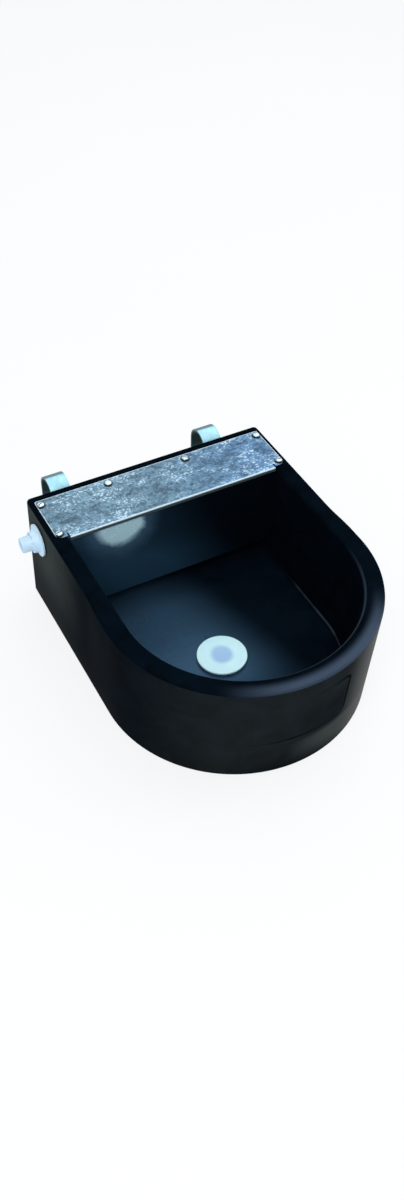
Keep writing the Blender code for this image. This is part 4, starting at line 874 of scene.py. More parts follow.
@functools.cache
def strip_zinc():
    """Hot-dip zinc on the hook strip: pale and dull outside, with painted shade on its sides, on the faces
    that look back and up, and inside the bend.
    """
    hooks = settings().hooks
    strip = Finish("galvanised_strip", hooks.zinc, 0.46, 0.5)
    spangle = strip.effect(zinc_spangle, Flake=90.0, Stretch=(1.0, 1.0, 0.6))
    worn = strip.effect(edge_wear, Start=0.51, End=0.58)["Mask"]
    near, radius = hook_bend(hooks)
    middle = BACK_WALL @ Vector((0, near + radius, -HOOK_CROWN_DROP))
    _, y, z = strip.axes
    reach = (y - middle.y).beside((z - middle.z).larger(0.0))
    side, back, up = strip.normal
    # Painted shade on the faces that look back and up, and on the strip's sides.
    back_and_up_shade = back.ramp(0.0, 0.22) * up.ramp(0.3, 0.6, 0.0, 0.85)
    color = coated(
        mixed(spangle["Tone"].ramp(0.3, 0.85), *shades(hooks.zinc, 0.90, 1.08)),
        (worn * 0.5, (0.60, 0.80, 0.84)),
        (back_and_up_shade.larger(abs(side).ramp(0.5, 0.9, 0.0, 0.85)), (0.050, 0.095, 0.090)),
        # painted shade inside the bend
        (reach.ramp(radius - 0.0002, radius - 0.0012), hooks.grime),
    )
    return strip.done(color, spangle["Tone"].scaled(0.2, 0.9, 0.52, 0.40), spangle, 0.00002)


@functools.cache
def plated_steel():
    """Bright zinc plate on small fasteners, slightly brushed, with painted shade on the sides of the cover
    screws' heads.
    """
    zinc = settings().screws.zinc
    plated = Finish("zinc_plated_steel", zinc, 0.30, 0.9)
    grain = plated.effect(moulded_grain, Pitch=2400.0, Waviness=0.5)
    worn = plated.effect(edge_wear, Start=0.52, End=0.60)["Mask"]
    high = plated.axes[2].ramp(PLATE_HIGH.z - 0.001, PLATE_HIGH.z)
    # Painted shade on the sides of the cover screws' heads.
    head_side_shade = plated.normal[2].ramp(0.90, 0.62, 0.0, 0.9) * high
    color = mixed(grain["Tone"].ramp(0.3, 0.7), *shades(zinc, 0.8, 1.12))
    color = coated(color, (worn, (0.86, 0.90, 0.92)), (head_side_shade, (0.03, 0.045, 0.05)))
    return plated.done(color, (0.24, 0.38), grain, 0.00001)


@functools.cache
def plain_brass():
    """Turned brass with a faint tarnish."""
    brass = Finish("turned_brass", (0.72, 0.52, 0.22), 0.30, 1.0)
    grain = brass.effect(moulded_grain, Pitch=1800.0, Waviness=0.5)
    color = mixed(grain["Tone"].ramp(0.35, 0.7), (0.76, 0.56, 0.24), (0.48, 0.33, 0.15))
    return brass.done(color, (0.24, 0.42), grain, 0.00001)


def glowing_plastic(name, color, roughness, weight):
    """A finish whose plastic lets a little light in below its surface."""
    return Finish(
        name,
        color,
        roughness,
        Subsurface_Weight=weight,
        Subsurface_Radius=(0.004, 0.005, 0.006),
        Subsurface_Scale=0.4,
    )


@functools.cache
def white_nylon():
    """White moulded nylon with a faint cool tone, a matt grain and a thin film where it faces up."""
    nylon = settings().inlet.nylon
    white = glowing_plastic("white_nylon", nylon, 0.38, 0.06)
    grain = white.effect(moulded_grain, Pitch=1500.0, Waviness=1.0)
    film = white.effect(settled_film, Amount=0.25, Patches=60.0)["Mask"]
    color = mixed(film, mixed(grain["Tone"].ramp(0.3, 0.7), *shades(nylon, 1.0, 1.08)), (0.50, 0.56, 0.58))
    return white.done(color, (0.32, 0.46), grain, 0.00002)


@functools.cache
def bung_plastic():
    """Pale cyan-white plastic, bluer and darker down in the dish as painted shade."""
    bung = settings().bung
    pale = glowing_plastic("pale_bung_plastic", bung.plastic, 0.34, 0.05)
    grain = pale.effect(moulded_grain, Pitch=1100.0, Waviness=1.0)
    ragged = pale.away_from(BUNG_CENTRE.x, BUNG_CENTRE.y)[0] + (grain["Tone"] - 0.5) * 0.006
    # Painted shade: bluer and darker down in the dish.
    dish = ragged.ramp(bung.dish_radius + 0.003, bung.dish_radius - 0.006)
    color = mixed(dish, mixed(grain["Tone"].ramp(0.3, 0.7), *shades(bung.plastic, 1.0, 1.05)), bung.dish)
    return pale.done(color, (0.28, 0.42), grain, 0.00002)


@functools.cache
def seal_rubber():
    """Black sealing rubber with a dry bloom."""
    rubber = Finish("seal_rubber", (0.012, 0.012, 0.013), 0.75)
    grain = rubber.effect(moulded_grain, Pitch=1900.0, Waviness=0.5)
    color = mixed(grain["Tone"].ramp(0.35, 0.75), (0.010, 0.010, 0.011), (0.035, 0.036, 0.038))
    return rubber.done(color, (0.66, 0.85), grain, 0.00004)


@functools.cache
def float_shell():
    """Red-orange blown float with a pebbled skin, chalked where it faces up."""
    shell = Finish("float_shell", (0.52, 0.09, 0.03), 0.42)
    grain = shell.effect(moulded_grain, Pitch=700.0, Waviness=2.0)
    film = shell.effect(settled_film, Amount=0.35, Patches=40.0)["Mask"]
    toned = mixed(grain["Tone"].ramp(0.3, 0.7), (0.46, 0.07, 0.02), (0.58, 0.12, 0.04))
    color = mixed(film, toned, (0.62, 0.40, 0.32))
    return shell.done(color, (0.34, 0.52), grain, 0.00006)


# The bowl


class Section(NamedTuple):
    """A D-shaped outline, seen from above: straight sides, a straight back and a round front."""

    half_width: float
    radius: float
    centre_y: float
    back_y: float
    corner: float


def blend(low, high, part):
    """The outline that lies part of the way from one to the other."""
    return Section(*(a + (b - a) * part for a, b in zip(low, high)))


def rounding(radius, steps):
    """How far each point of a quarter round lies from the wall's face and from the edge's."""
    return [(radius * (1 - math.cos(a)), radius * (1 - math.sin(a))) for a in quarter(steps)]


class BowlShape:
    """The bowl's outer and inner outlines at any height."""

    foot_edge = 0.003
    back_corner = 0.006
    mouth_corner = 0.012
    mouth_back = -0.023
    well_taper = 0.005
    well_setback = 0.009
    well_back_taper = 0.001
    bulge_start = 0.078
    bulge_end = 0.020

    def __init__(self, bowl):
        self.bowl = bowl
        half, centre, corner = bowl.rim_half_width, bowl.round_centre, self.mouth_corner
        base, mouth = half + bowl.base_flare, half - bowl.rim_breadth
        well, well_back = mouth - self.well_taper, self.mouth_back - self.well_back_taper
        self.rim = Section(half, half + bowl.rim_bulge, centre, 0.0, self.back_corner)
        self.base = Section(base, base, centre + bowl.base_setback, BACK_LEAN, self.back_corner)
        self.mouth = Section(mouth, mouth, centre, self.mouth_back, corner)
        self.well = Section(well, well, centre + self.well_setback, well_back, corner)

    def outside(self, z):
        """The outer wall's outline at a height."""
        return blend(self.base, self.rim, z / self.bowl.height)

    def inside(self, z):
        """The inner wall's outline at a height."""
        return blend(self.well, self.mouth, (z - self.bowl.floor) / (self.bowl.height - self.bowl.floor))

    def outline(self, section, inset, z):
        """Points once round a section that is moved in by inset."""
        half, radius, back = section.half_width - inset, section.radius - inset, section.back_y - inset
        corner = section.corner - min(inset, section.corner / 2)
        right = arc((half - corner, back - corner), corner, 90, 0, 8)
        start, end = self.bowl.round_centre + self.bulge_start, self.bowl.round_centre + self.bulge_end
        for step in range(21):
            part = step / 20
            swell = (1 - math.cos(math.pi * part)) / 2
            right.append((half + (radius - half) * swell, start + (end - start) * part))
        right += arc((0, section.centre_y), radius, 0, -90, 48)
        left = [(-x, y) for x, y in reversed(right[:-1])]
        return [Vector((x, y, z)) for x, y in right + left]

    def rings(self):
        """Up the outside, over the rim and down inside to the floor."""
        floor, top, foot = self.bowl.floor, self.bowl.height, self.foot_edge
        outer, inner, fillet = self.bowl.outer_edge, self.bowl.inner_edge, self.bowl.floor_fillet
        wall_low, wall_high = floor + fillet, top - inner
        levels = [(self.outside, inset, z) for inset, z in reversed(rounding(foot, 5))]
        levels += [(self.outside, 0, foot + (top - outer - foot) * part) for part in (0.25, 0.5, 0.75)]
        levels += [(self.outside, inset, top - drop) for inset, drop in rounding(outer, 8)]
        levels += [(self.inside, -inset, top - drop) for inset, drop in reversed(rounding(inner, 10))]
        levels += [(self.inside, 0, wall_low + (wall_high - wall_low) * part) for part in (0.75, 0.5, 0.25)]
        levels += [(self.inside, inset, floor + rise) for inset, rise in rounding(fillet, 8)]
        return [self.outline(face(z), inset, z) for face, inset, z in levels]


def upright_sheet(name, edge, front, back):
    """A flat sheet that stands across the bowl, from its outline as (x, z) points."""
    place = Matrix.Translation((0, (front + back) / 2, 0)) @ UPRIGHT
    return outlined_mesh(name, [edge], back - front, place)


def panel_block(shape, bowl):
    """The bare front panel: it stands out most along its lower edge, and dies into the wall above."""
    nose, corner, beyond = bowl.round_centre - bowl.rim_half_width, bowl.panel_corner, 0.006
    left, right = bowl.panel_left + corner, bowl.panel_right - corner
    low, high = bowl.panel_low + corner, bowl.panel_high - corner
    edge = []
    for number, centre in enumerate(((right, high), (left, high), (left, low), (right, low))):
        edge += arc(centre, corner, 90 * number, 90 * number + 90, 8)
    block = link("front_panel", upright_sheet("front_panel", edge, nose - 0.012, nose + 0.020))
    rings = []
    for z, relief in ((bowl.panel_low - beyond, 1.0), (bowl.panel_high + beyond, 0.25)):
        ring = shape.outline(shape.outside(z), -relief * bowl.panel_relief, z)
        rings.append([point + Vector((0.25 * bowl.panel_relief, 0, 0)) for point in ring])
    block = cut(block, [("INTERSECT", lofted_mesh("panel_limit", rings))])
    mesh = block.data
    bpy.data.objects.remove(block)
    return mesh


def panel_groove(shape, bowl):
    """A fine round groove along the panel's lower and right edges."""
    low, right, corner, radius, drop = bowl.panel_low, bowl.panel_right, bowl.panel_corner, 0.0012, 0.0004
    path = [(bowl.panel_left + corner + step * 0.004, low) for step in range(1, 27)]
    path += arc((right - corner, low + corner), corner, -90, 0, 10)
    path += [(right, low + corner + step * 0.006) for step in range(1, 9)]
    points = []
    for x, z in path:
        section = shape.outside(z)
        points.append((x, section.centre_y - math.sqrt(section.radius**2 - x**2), z - drop))
    return tube_mesh("panel_groove", points, radius)


def widening(low, low_half, high, high_half):
    """The outline of a sheet that widens from low to high."""
    return [(low_half, low), (high_half, high), (-high_half, high), (-low_half, low)]


def inlet_bar(start, end, radius):
    """A bar along the water inlet, between two distances from the middle of the bowl."""
    _, y, z = INLET_CENTRE
    return (start, y, z), (end, y, z), radius


def drilled(shape, bowl):
    """What is taken out of the moulding: drain, inlet, bolt and screw holes, seats and grooves."""
    drain, insert, vent, bolt, nut = 0.0168, 0.0043, 0.0025, 0.0034, 0.0088
    flange_seat, seal_seat, water_way = 0.0228, 0.0173, 0.0121
    seat, groove_play, groove_top = NUT_HIGH.x + 0.0021, 0.002, bowl.height + 0.002
    x, y, _ = BUNG_CENTRE
    drains = [((x, y, -0.01), (x, y, 0.03), drain)]
    seats = [inlet_bar(seat - 0.02, seat, flange_seat), inlet_bar(-0.1505, -0.13, seal_seat)]
    holes = []
    for at in screw_centres():
        holes.append(((at.x, at.y, bowl.height - 0.0103), (at.x, at.y, bowl.height + 0.01), insert))
    holes.append(((0, -0.060, -0.01), (0, -0.060, 0.006), vent))
    nuts = []
    for side, number, _ in BOLTS:
        low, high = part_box(f"hook_bolt_{side}_{number}")
        x, z = (low.x + high.x) / 2, (low.z + high.z) / 2
        holes.append(((x, 0.012, z + 0.0004), (x, -0.030, z - 0.0008), bolt))
        nuts.append(((x, low.y + 0.0096, z), (x, low.y - 0.006, z), nut))
    foot = BAFFLE_LOW.z - SEAT_GAP
    low_half, high_half = (shape.inside(z).half_width + groove_play for z in (foot, bowl.height))
    groove = widening(foot, low_half, groove_top, high_half)
    cuts = [
        bars_mesh("drain", drains, 96),
        bars_mesh("inlet_seats", seats, 96),
        bars_mesh("inlet_way", [inlet_bar(-0.19, -0.14, water_way)], 64),
        bars_mesh("small_holes", holes, 32),
        bars_mesh("nut_seats", nuts, 32),
        upright_sheet("baffle_grooves", groove, BAFFLE_LOW.y - SEAT_GAP, BAFFLE_HIGH.y + SEAT_GAP),
    ]
    return [("DIFFERENCE", mesh) for mesh in cuts]


class WATERER_OT_bowl(bpy.types.Operator):
    """Mould the bowl with its rolled rim, bare front panel, holes and seats"""

    bl_idname = "waterer.bowl"
    bl_label = "Bowl"

    def execute(self, context):
        bowl = settings().bowl
        shape = BowlShape(bowl)
        body = link("bowl_moulding", lofted_mesh("bowl_moulding", shape.rings()))
        panel = [("UNION", panel_block(shape, bowl)), ("DIFFERENCE", panel_groove(shape, bowl))]
        body = cut(body, [*panel, *drilled(shape, bowl)])
        dress(body, bowl_plastic, ["bowl_body"])
        return {"FINISHED"}


class WATERER_OT_baffle(bpy.types.Operator):
    """Cut the pebbled baffle panel that stands under the cover's lip"""

    bl_idname = "waterer.baffle"
    bl_label = "Baffle"

    def execute(self, context):
        shape = BowlShape(settings().bowl)
        low, high, in_groove = BAFFLE_LOW.z, BAFFLE_HIGH.z, 0.0017
        low_half, high_half = (shape.inside(z).half_width + in_groove for z in (low, high))
        edge = widening(low, low_half, high, high_half)
        mesh = upright_sheet("baffle_sheet", edge, BAFFLE_LOW.y, BAFFLE_HIGH.y)
        panel = bevelled(link("baffle_sheet", smooth(mesh)), 0.0006, 3, 45)
        dress(panel, baffle_plastic, ["baffle_panel"])
        return {"FINISHED"}


# The cover plate and its screws


def screw_centres():
    """The middle of each cover screw's box."""
    return [(low + high) / 2 for low, high in map(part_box, SCREW_NODES)]


def plate_edge(plate):
    """The sheet's outline seen from above: lobes at the front corners and a lip between them."""
    lip_half, notch, depth, back_corner = 0.1515, 0.0022, 0.0045, 0.002
    wide, back, lobe_front = PLATE_HIGH.x, PLATE_HIGH.y, -0.0945
    right = arc((wide - back_corner, back - back_corner), back_corner, 90, 0, 5)
    right += arc((wide - plate.corner, lobe_front + plate.corner), plate.corner, 0, -90, 14)
    right += [(lip_half + notch, lobe_front)]
    right += arc((lip_half + notch / 2, lobe_front + depth), notch / 2, 0, 180, 8)
    right += [(lip_half, PLATE_LOW.y + plate.bend)]
    return right + [(-x, y) for x, y in reversed(right)]


def fold_lip(shape, plate):
    """Draws the flat sheet's front edge round the bend and down into the lip."""
    bend, bend_y = plate.bend, PLATE_LOW.y + plate.bend
    front = [
        edge
        for edge in shape.edges
        if edge.is_boundary and all(abs(vert.co.y - bend_y) < 1e-5 for vert in edge.verts)
    ]
    steps = [(bend * math.sin(a), bend * (1 - math.cos(a))) for a in quarter(8)]
    steps.append((bend, plate.front_lip))
    for (y0, z0), (y1, z1) in zip(steps, steps[1:]):
        drawn = bmesh.ops.extrude_edge_only(shape, edges=front)["geom"]
        front = made(drawn, bmesh.types.BMEdge)
        bmesh.ops.translate(shape, verts=made(drawn, bmesh.types.BMVert), vec=(0, y0 - y1, z0 - z1))
    face_out(shape)
    if sum(face.normal.z for face in shape.faces) < 0:
        bmesh.ops.reverse_faces(shape, faces=shape.faces)
    bmesh.ops.translate(shape, verts=shape.verts, vec=(0, 0, PLATE_HIGH.z))


class WATERER_OT_cover_plate(bpy.types.Operator):
    """Fold the galvanised cover plate"""

    bl_idname = "waterer.cover_plate"
    bl_label = "Cover plate"

    def execute(self, context):
        plate, name, hole = settings().plate, "cover_sheet", 0.0026
        holes = [arc((at.x, at.y), hole, 0, 345, 23) for at in screw_centres()]
        flat = outlined_mesh(name, [plate_edge(plate), *holes], 0)
        folded = smooth(edited(flat, lambda shape: fold_lip(shape, plate)))
        sheet = solidified(link(name, folded), plate.sheet, -1)
        sheet = bevelled(link(name, smooth(baked_mesh(sheet))), 0.0003, 2, 60)
        dress(sheet, sheet_zinc, ["cover_plate"])
        return {"FINISHED"}


@functools.cache
def scatter_tree():
    """Puts one object on every point of a mesh, turned as each point says, and sets its finish."""
    tree = bpy.data.node_groups.new("fasteners_on_points", "GeometryNodeTree")
    kinds = {"Geometry": "Geometry", "Fastener": "Object", "Size": "Float", "Finish": "Material"}
    for label, kind in kinds.items():
        tree.interface.new_socket(label, in_out="INPUT", socket_type=f"NodeSocket{kind}")
    tree.interface.new_socket("Geometry", in_out="OUTPUT", socket_type="NodeSocketGeometry")
    given = tree.nodes.new("NodeGroupInput").outputs
    result = tree.nodes.new("NodeGroupOutput").inputs
    piece = add_node(tree, "GeometryNodeObjectInfo", {"Object": given["Fastener"]})
    facing = add_node(tree, "GeometryNodeInputNamedAttribute", {"Name": "facing"}, data_type="FLOAT_VECTOR")
    turn = add_node(tree, "FunctionNodeEulerToRotation", {0: facing.outputs["Attribute"]})
    places = {"Points": given["Geometry"], "Rotation": turn.outputs[0], "Scale": given["Size"]}
    pieces = {**places, "Instance": piece.outputs["Geometry"]}
    placed = add_node(tree, "GeometryNodeInstanceOnPoints", pieces)
    real = add_node(tree, "GeometryNodeRealizeInstances", {"Geometry": placed.outputs[0]})
    coat = {"Geometry": real.outputs[0], "Material": given["Finish"]}
    tree.links.new(add_node(tree, "GeometryNodeSetMaterial", coat).outputs[0], result["Geometry"])
    return tree


def scatter(name, prototype, places, nodes):
    """One plated mesh of the prototype at every place; a place is a position and an Euler turn."""
    points = bpy.data.meshes.new(name)
    points.from_pydata([place for place, _ in places], [], [])
    facing = points.attributes.new("facing", "FLOAT_VECTOR", "POINT")
    for item, (_, turn) in zip(facing.data, places):
        item.vector = turn
    holder = link(name, points)
    piece = link(f"{name}_prototype", prototype)
    modifier = holder.modifiers.new("fasteners", "NODES")
    modifier.node_group = scatter_tree()
    values = {"Fastener": piece, "Size": 1.0, "Finish": plated_steel()}
    for item in scatter_tree().interface.items_tree:
        if item.in_out == "INPUT" and item.name in values:
            modifier[item.identifier] = values[item.name]
    mesh = baked_mesh(holder)
    bpy.data.objects.remove(piece)
    bpy.data.meshes.remove(prototype)
    dress(link(name, mesh), plated_steel, nodes)


def pan_screw(screws):
    """A slotted pan-head screw whose head rests on its own XY plane."""
    r, h, shank, rim, reach, tip = screws.head_radius, screws.head_height, 0.0022, 0.985, -0.0098, -0.012
    dome = [(r * math.sin(a), h * (0.35 + 0.65 * math.cos(a))) for a in quarter(10)]
    profile = dome + [(r * rim, 0), (shank, 0), (shank, reach), (0, tip)]
    screw = link("pan_screw", turned_mesh("pan_screw", profile, 40))
    low, high = h - screws.slot_depth, h + 0.002
    size = Matrix.Diagonal((3 * r, screws.slot_width, high - low, 1))
    box = Matrix.Translation((0, 0, (low + high) / 2)) @ size
    slot = closed_mesh("slot", lambda shape: bmesh.ops.create_cube(shape, size=1, matrix=box))
    return baked_mesh(bevelled(cut(screw, [("DIFFERENCE", slot)]), 0.00012, 2, 50))


class WATERER_OT_cover_screws(bpy.types.Operator):
    """Drive the slotted screws through the cover plate"""

    bl_idname = "waterer.cover_screws"
    bl_label = "Cover screws"

    def execute(self, context):
        seat, turns = PLATE_HIGH.z + SEAT_GAP, (25, 70, -35, 50, 10, -20)
        places = []
        for at, turn in zip(screw_centres(), turns):
            places.append(((at.x, at.y, seat), (0, 0, math.radians(turn))))
        scatter("cover_screw_set", pan_screw(settings().screws), places, SCREW_NODES)
        refine(INSERT_NODES, plain_brass)
        return {"FINISHED"}


# The hooks


def hook_bend(hooks):
    """How far the near leg lies out from the back wall, midway in the strip, and the bend's radius."""
    return SEAT_GAP + hooks.thickness / 2, (hooks.rail_gap + hooks.thickness) / 2


def hook_path(hooks):
    """Up the back wall, over the rail and down behind it, as (outward, up) points midway in the strip."""
    near, radius = hook_bend(hooks)
    far = near + 2 * radius
    path = [(near, -0.088), (near, -0.044)]
    path += arc((near + radius, 0), radius, 180, 0, 40)
    path += [(far, -0.023), (far, -0.0435)]
    path += [(far + 0.0003, -0.0465), (far + 0.0012, -0.0495), (far + 0.004, -0.058)]
    return [(outward, up - HOOK_CROWN_DROP) for outward, up in path]


def strip_mesh(name, path, width, centre):
    """The strip's middle surface, from the path, with the given width."""

    def build_in(shape):
        verts = [shape.verts.new((centre - width / 2, y, z)) for y, z in path]
        edges = [shape.edges.new(pair) for pair in zip(verts, verts[1:])]
        drawn = bmesh.ops.extrude_edge_only(shape, edges=edges)["geom"]
        bmesh.ops.translate(shape, verts=made(drawn, bmesh.types.BMVert), vec=(width, 0, 0))

    return closed_mesh(name, build_in)


def cup_bolt():
    """A cup-head bolt whose head rests on its own XY plane."""
    radius, height, shank, reach, ease = 0.0062, 0.0032, 0.0029, 0.0379, 0.0009
    dome = [(radius * math.sin(a), height * math.cos(a)) for a in quarter(10)]
    tip = [(shank, 0.001 - reach), (shank - ease, -reach), (0, -reach)]
    return turned_mesh("cup_bolt", [*dome, (radius * 0.98, 0), (shank, 0), *tip], 40)


def plain_washer():
    """A flat washer that lies on its own XY plane."""
    bore, rim, top, ease = 0.0032, 0.0075, 0.0012, 0.0002
    corners = [(bore, top / 2), (bore, top), (rim, top), (rim, 0), (bore, 0)]
    return turned_mesh("plain_washer", rounded(corners, ease), 40)


def hex_nut():
    """A chamfered hexagon nut that stands on its own XY plane."""
    rim, height, hole, ease = 0.00575, 0.005, BOLT_HOLE, 0.0007
    body = link("hex_nut", bars_mesh("hex_nut", [((0, 0, 0), (0, 0, height), rim)], 6))
    barrel = [(0, height), (rim - ease, height), (rim + ease, height - ease)]
    barrel += [(rim + ease, ease), (rim - ease, 0), (0, 0)]
    bore = bars_mesh("nut_bore", [((0, 0, -height), (0, 0, 2 * height), hole)], 32)
    chamfer = turned_mesh("nut_chamfer", barrel, 48)
    return baked_mesh(cut(body, [("INTERSECT", chamfer), ("DIFFERENCE", bore)]))


class WATERER_OT_hooks(bpy.types.Operator):
    """Bend the rail hooks and bolt them to the back wall"""

    bl_idname = "waterer.hooks"
    bl_label = "Rail hooks"

    def execute(self, context):
        hooks = settings().hooks
        for side in HOOK_SIDES:
            name, centre = f"hook_strip_{side}", getattr(hooks, side)
            middle = link(name, strip_mesh(name, hook_path(hooks), hooks.width, centre))
            strip = bevelled(solidified(middle, hooks.thickness, 0), 0.0007, 3, 50)
            strip = link(name, smooth(baked_mesh(strip), 40))
            ways = [((centre, -0.002, -drop), (centre, 0.006, -drop), BOLT_HOLE) for drop in HOOK_BOLT_DROPS]
            strip = cut(strip, [("DIFFERENCE", bars_mesh("bolt_ways", ways, 32))])
            strip.data.transform(BACK_WALL)
            dress(strip, strip_zinc, [f"rail_hook_{side}"])
        outward = (BACK_WALL @ Matrix.Rotation(math.radians(-90), 4, "X")).to_euler()
        for part, prototype, y in (
            ("bolt", cup_bolt(), 0.0036),
            ("washer", plain_washer(), -0.0260),
            ("nut", hex_nut(), -0.0313),
        ):
            places, nodes = [], []
            for side, number, drop in BOLTS:
                places.append((BACK_WALL @ Vector((getattr(hooks, side), y, -drop)), outward))
                nodes.append(f"hook_{part}_{side}_{number}")
            scatter(f"hook_{part}_set", prototype, places, nodes)
        return {"FINISHED"}


# The inlet and the valve


class WATERER_OT_inlet(bpy.types.Operator):
    """Turn the flanged nut and finish the valve that it clamps"""

    bl_idname = "waterer.inlet"
    bl_label = "Water inlet"

    def execute(self, context):
        inlet = settings().inlet
        face, end, bore = NUT_HIGH.x, NUT_LOW.x, inlet.root_radius + SEAT_GAP
        back, start = face - 0.003, (bore, (NUT_HIGH.x + NUT_LOW.x) / 2)
        corners = [
            start,
            (bore, face),
            (inlet.flange_radius, face),
            (inlet.flange_radius, back),
            (inlet.collar_radius + 0.0006, back),
            (inlet.collar_radius - 0.0014, end),
            (bore, end),
            start,
        ]
        mesh = turned_mesh("flanged_nut", rounded(corners, 0.0007, 5)[:-1], 96, ALONG_INLET)
        dress(link("flanged_nut", mesh), white_nylon, ["inlet_flange_nut"])
        refine(["valve_body"], white_nylon)
        refine(["inlet_outer_seal", "inlet_inner_seal", "nozzle_seal"], seal_rubber)
        refine(["plunger_seat"], seal_rubber, "plunger")
        refine(["valve_plunger"], white_nylon, "plunger")
        refine(["valve_nozzle"], plain_brass)
        refine(["inlet_strainer", "arm_pivot_pin", "pivot_pin_clip"], plated_steel)
        return {"FINISHED"}


class WATERER_OT_float_arm(bpy.types.Operator):
    """Finish the lever, rod, float and nuts that ride on the valve's pivot"""

    bl_idname = "waterer.float_arm"
    bl_label = "Float arm"

    def execute(self, context):
        nuts = ["rod_lock_nut", "float_stop_nut", "float_wing_nut"]
        refine(["float"], float_shell, "float_arm")
        refine(["float_rod"], plain_brass, "float_arm")
        refine(["float_lever"], white_nylon, "float_arm", 0.0003)
        refine(nuts, plated_steel, "float_arm", 0.0002)
        return {"FINISHED"}


class WATERER_OT_drain_bung(bpy.types.Operator):
    """Turn the drain bung with its bare dish, and finish its seal and ring"""

    bl_idname = "waterer.drain_bung"
    bl_label = "Drain bung"

    def execute(self, context):
        bung, top, foot, seat = settings().bung, BUNG_HIGH.z, BUNG_LOW.z, BUNG_HIGH.z - 0.0032
        stem, neck, ring_low, ring_high = 0.0152, 0.0132, 0.0067, 0.0103
        corners = []
        for step in range(17):
            part = step / 16
            sunk = bung.dish_depth * (1 + math.cos(math.pi * part)) / 2
            corners.append((1.2 * bung.dish_radius * part, top - sunk))
        corners += [(bung.radius - 0.0005, top), (bung.radius, top - 0.0009), (bung.radius, seat)]
        corners += [(stem, seat), (stem, ring_high), (neck, ring_high)]
        corners += [(neck, ring_low), (stem, ring_low), (stem, foot), (0, foot)]
        place = Matrix.Translation((BUNG_CENTRE.x, BUNG_CENTRE.y, 0))
        mesh = turned_mesh("bung_turning", rounded(corners, 0.0009, 5), 96, place)
        dress(link("bung_turning", mesh), bung_plastic, ["drain_bung"], "bung")
        refine(["bung_seal", "bung_grip_ring"], seal_rubber, "bung")
        return {"FINISHED"}


# The stage


def area_light(name, place, aim, size, power, color):
    """A round lamp that looks at the aim."""
    lamp = bpy.data.lights.new(name, "AREA")
    lamp.shape = "DISK"
    lamp.size = size
    lamp.energy = power
    lamp.color = color
    obj = link(name, lamp)
    obj.location = place
    obj.rotation_euler = (Vector(aim) - Vector(place)).to_track_quat("-Z", "Y").to_euler()


def background_share(tree):
    """One for the rays that see the background itself: camera, glossy and transmission."""
    path = add_node(tree, "ShaderNodeLightPath").outputs
    rays = [Field(tree, path[f"Is {kind} Ray"]) for kind in ("Camera", "Glossy", "Transmission")]
    return functools.reduce(Field.larger, rays)


def set_world(stage):
    """A soft sky that lights the object, and that the rays for the background see as white."""
    world = bpy.data.worlds.new("soft_studio")
    world.use_nodes = True
    bpy.context.scene.world = world
    tree = world.node_tree
    back = tree.nodes["Background"].inputs
    rise = split(tree, add_node(tree, "ShaderNodeTexCoord").outputs["Generated"])[2].ramp(-0.1, 0.9)
    seen = background_share(tree)
    color = mixed(seen, mixed(rise, (0.80, 0.80, 0.78), stage.sky), (1, 1, 1))
    strength = seen * (1.0 - stage.sky_strength) + stage.sky_strength
    tree.links.new(color.socket, back["Color"])
    tree.links.new(strength.socket, back["Strength"])


def floor_finish(stage):
    """A pale matt floor, lifted towards white for the rays that see the background."""
    pale = Finish("pale_floor", stage.floor, 0.9, Specular_IOR_Level=0.1)
    tree = pale.tree
    cloud = noise(place_of(tree), 3.0, 3.0).ramp(0.3, 0.7)
    pale.feed("Base Color", mixed(cloud, *shades(stage.floor, 0.985, 1.0)))
    white = add_node(tree, "ShaderNodeEmission", {"Color": (1, 1, 1, 1), "Strength": 1.0}).outputs[0]
    parts = {0: background_share(tree) * 0.8, 1: tree.nodes["Principled BSDF"].outputs[0], 2: white}
    lifted = add_node(tree, "ShaderNodeMixShader", parts).outputs[0]
    tree.links.new(lifted, tree.nodes["Material Output"].inputs["Surface"])
    return pale.material


def set_camera(stage):
    """Looks at the waterer from the photograph's side, with its framing."""
    camera = bpy.data.cameras.new("photo_camera")
    camera.lens = stage.lens
    camera.sensor_width = 36
    camera.clip_start, camera.clip_end = 0.01, 100
    holder = link("photo_camera", camera)
    holder.location = (-0.4896, -1.0825, 1.1221)
    holder.rotation_euler = Euler([math.radians(turn) for turn in (43.97, -0.43, -27.80)])
    bpy.context.scene.camera = holder


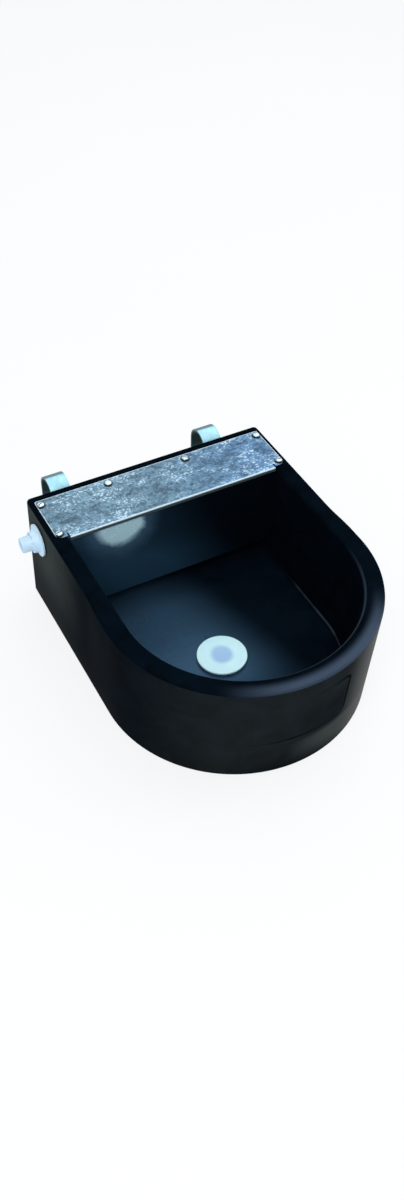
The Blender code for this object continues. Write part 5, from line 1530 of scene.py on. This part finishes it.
class WATERER_OT_stage(bpy.types.Operator):
    """Lay the pale floor and set the soft light and the camera"""

    bl_idname = "waterer.stage"
    bl_label = "Stage"

    def execute(self, context):
        stage = settings().stage
        context.scene.view_settings.view_transform = "Standard"
        grid = {"x_segments": 2, "y_segments": 2, "size": 12}
        mesh = closed_mesh("pale_floor", lambda shape: bmesh.ops.create_grid(shape, **grid))
        mesh.transform(Matrix.Translation((0, 0, CAD_BOX[0].z - 0.0005)))
        mesh.materials.append(floor_finish(stage))
        link("pale_floor", mesh)
        set_world(stage)
        area_light("key_light", (1.1, 0.8, 2.6), (0, -0.2, 0.05), 3.6, 34, (0.90, 0.96, 1.0))
        area_light("fill_light", (-0.9, -1.4, 2.0), (0, -0.25, 0.1), 1.2, 25, (0.86, 0.95, 1.0))
        area_light("side_light", (1.6, -0.7, 0.8), (0, -0.2, 0.1), 1.0, 7, (0.96, 0.98, 1.0))
        set_camera(stage)
        return {"FINISHED"}


class WATERER_PT_panel(bpy.types.Panel):
    """Lists the waterer's settings and the steps that build it"""

    bl_idname = "WATERER_PT_panel"
    bl_label = "Horse waterer"
    bl_space_type = "VIEW_3D"
    bl_region_type = "UI"
    bl_category = "Waterer"

    def draw(self, context):
        for key, group in SETTINGS.items():
            box = self.layout.box()
            box.label(text=key.capitalize())
            for prop in group.__annotations__:
                box.prop(getattr(context.scene.waterer, key), prop)
        column = self.layout.column(align=True)
        for step in STEPS:
            column.operator(step.bl_idname)


STEPS = (
    WATERER_OT_bowl,
    WATERER_OT_baffle,
    WATERER_OT_cover_plate,
    WATERER_OT_cover_screws,
    WATERER_OT_hooks,
    WATERER_OT_inlet,
    WATERER_OT_float_arm,
    WATERER_OT_drain_bung,
    WATERER_OT_stage,
)
CLASSES = (*SETTINGS.values(), WatererSettings, *STEPS, WATERER_PT_panel)


def register():
    for cls in CLASSES:
        bpy.utils.register_class(cls)
    bpy.types.Scene.waterer = PointerProperty(type=WatererSettings)


def unregister():
    del bpy.types.Scene.waterer
    for cls in reversed(CLASSES):
        bpy.utils.unregister_class(cls)


def main():
    register()
    for step in STEPS:
        group, action = step.bl_idname.split(".")
        getattr(getattr(bpy.ops, group), action)()


if __name__ == "__main__":
    main()
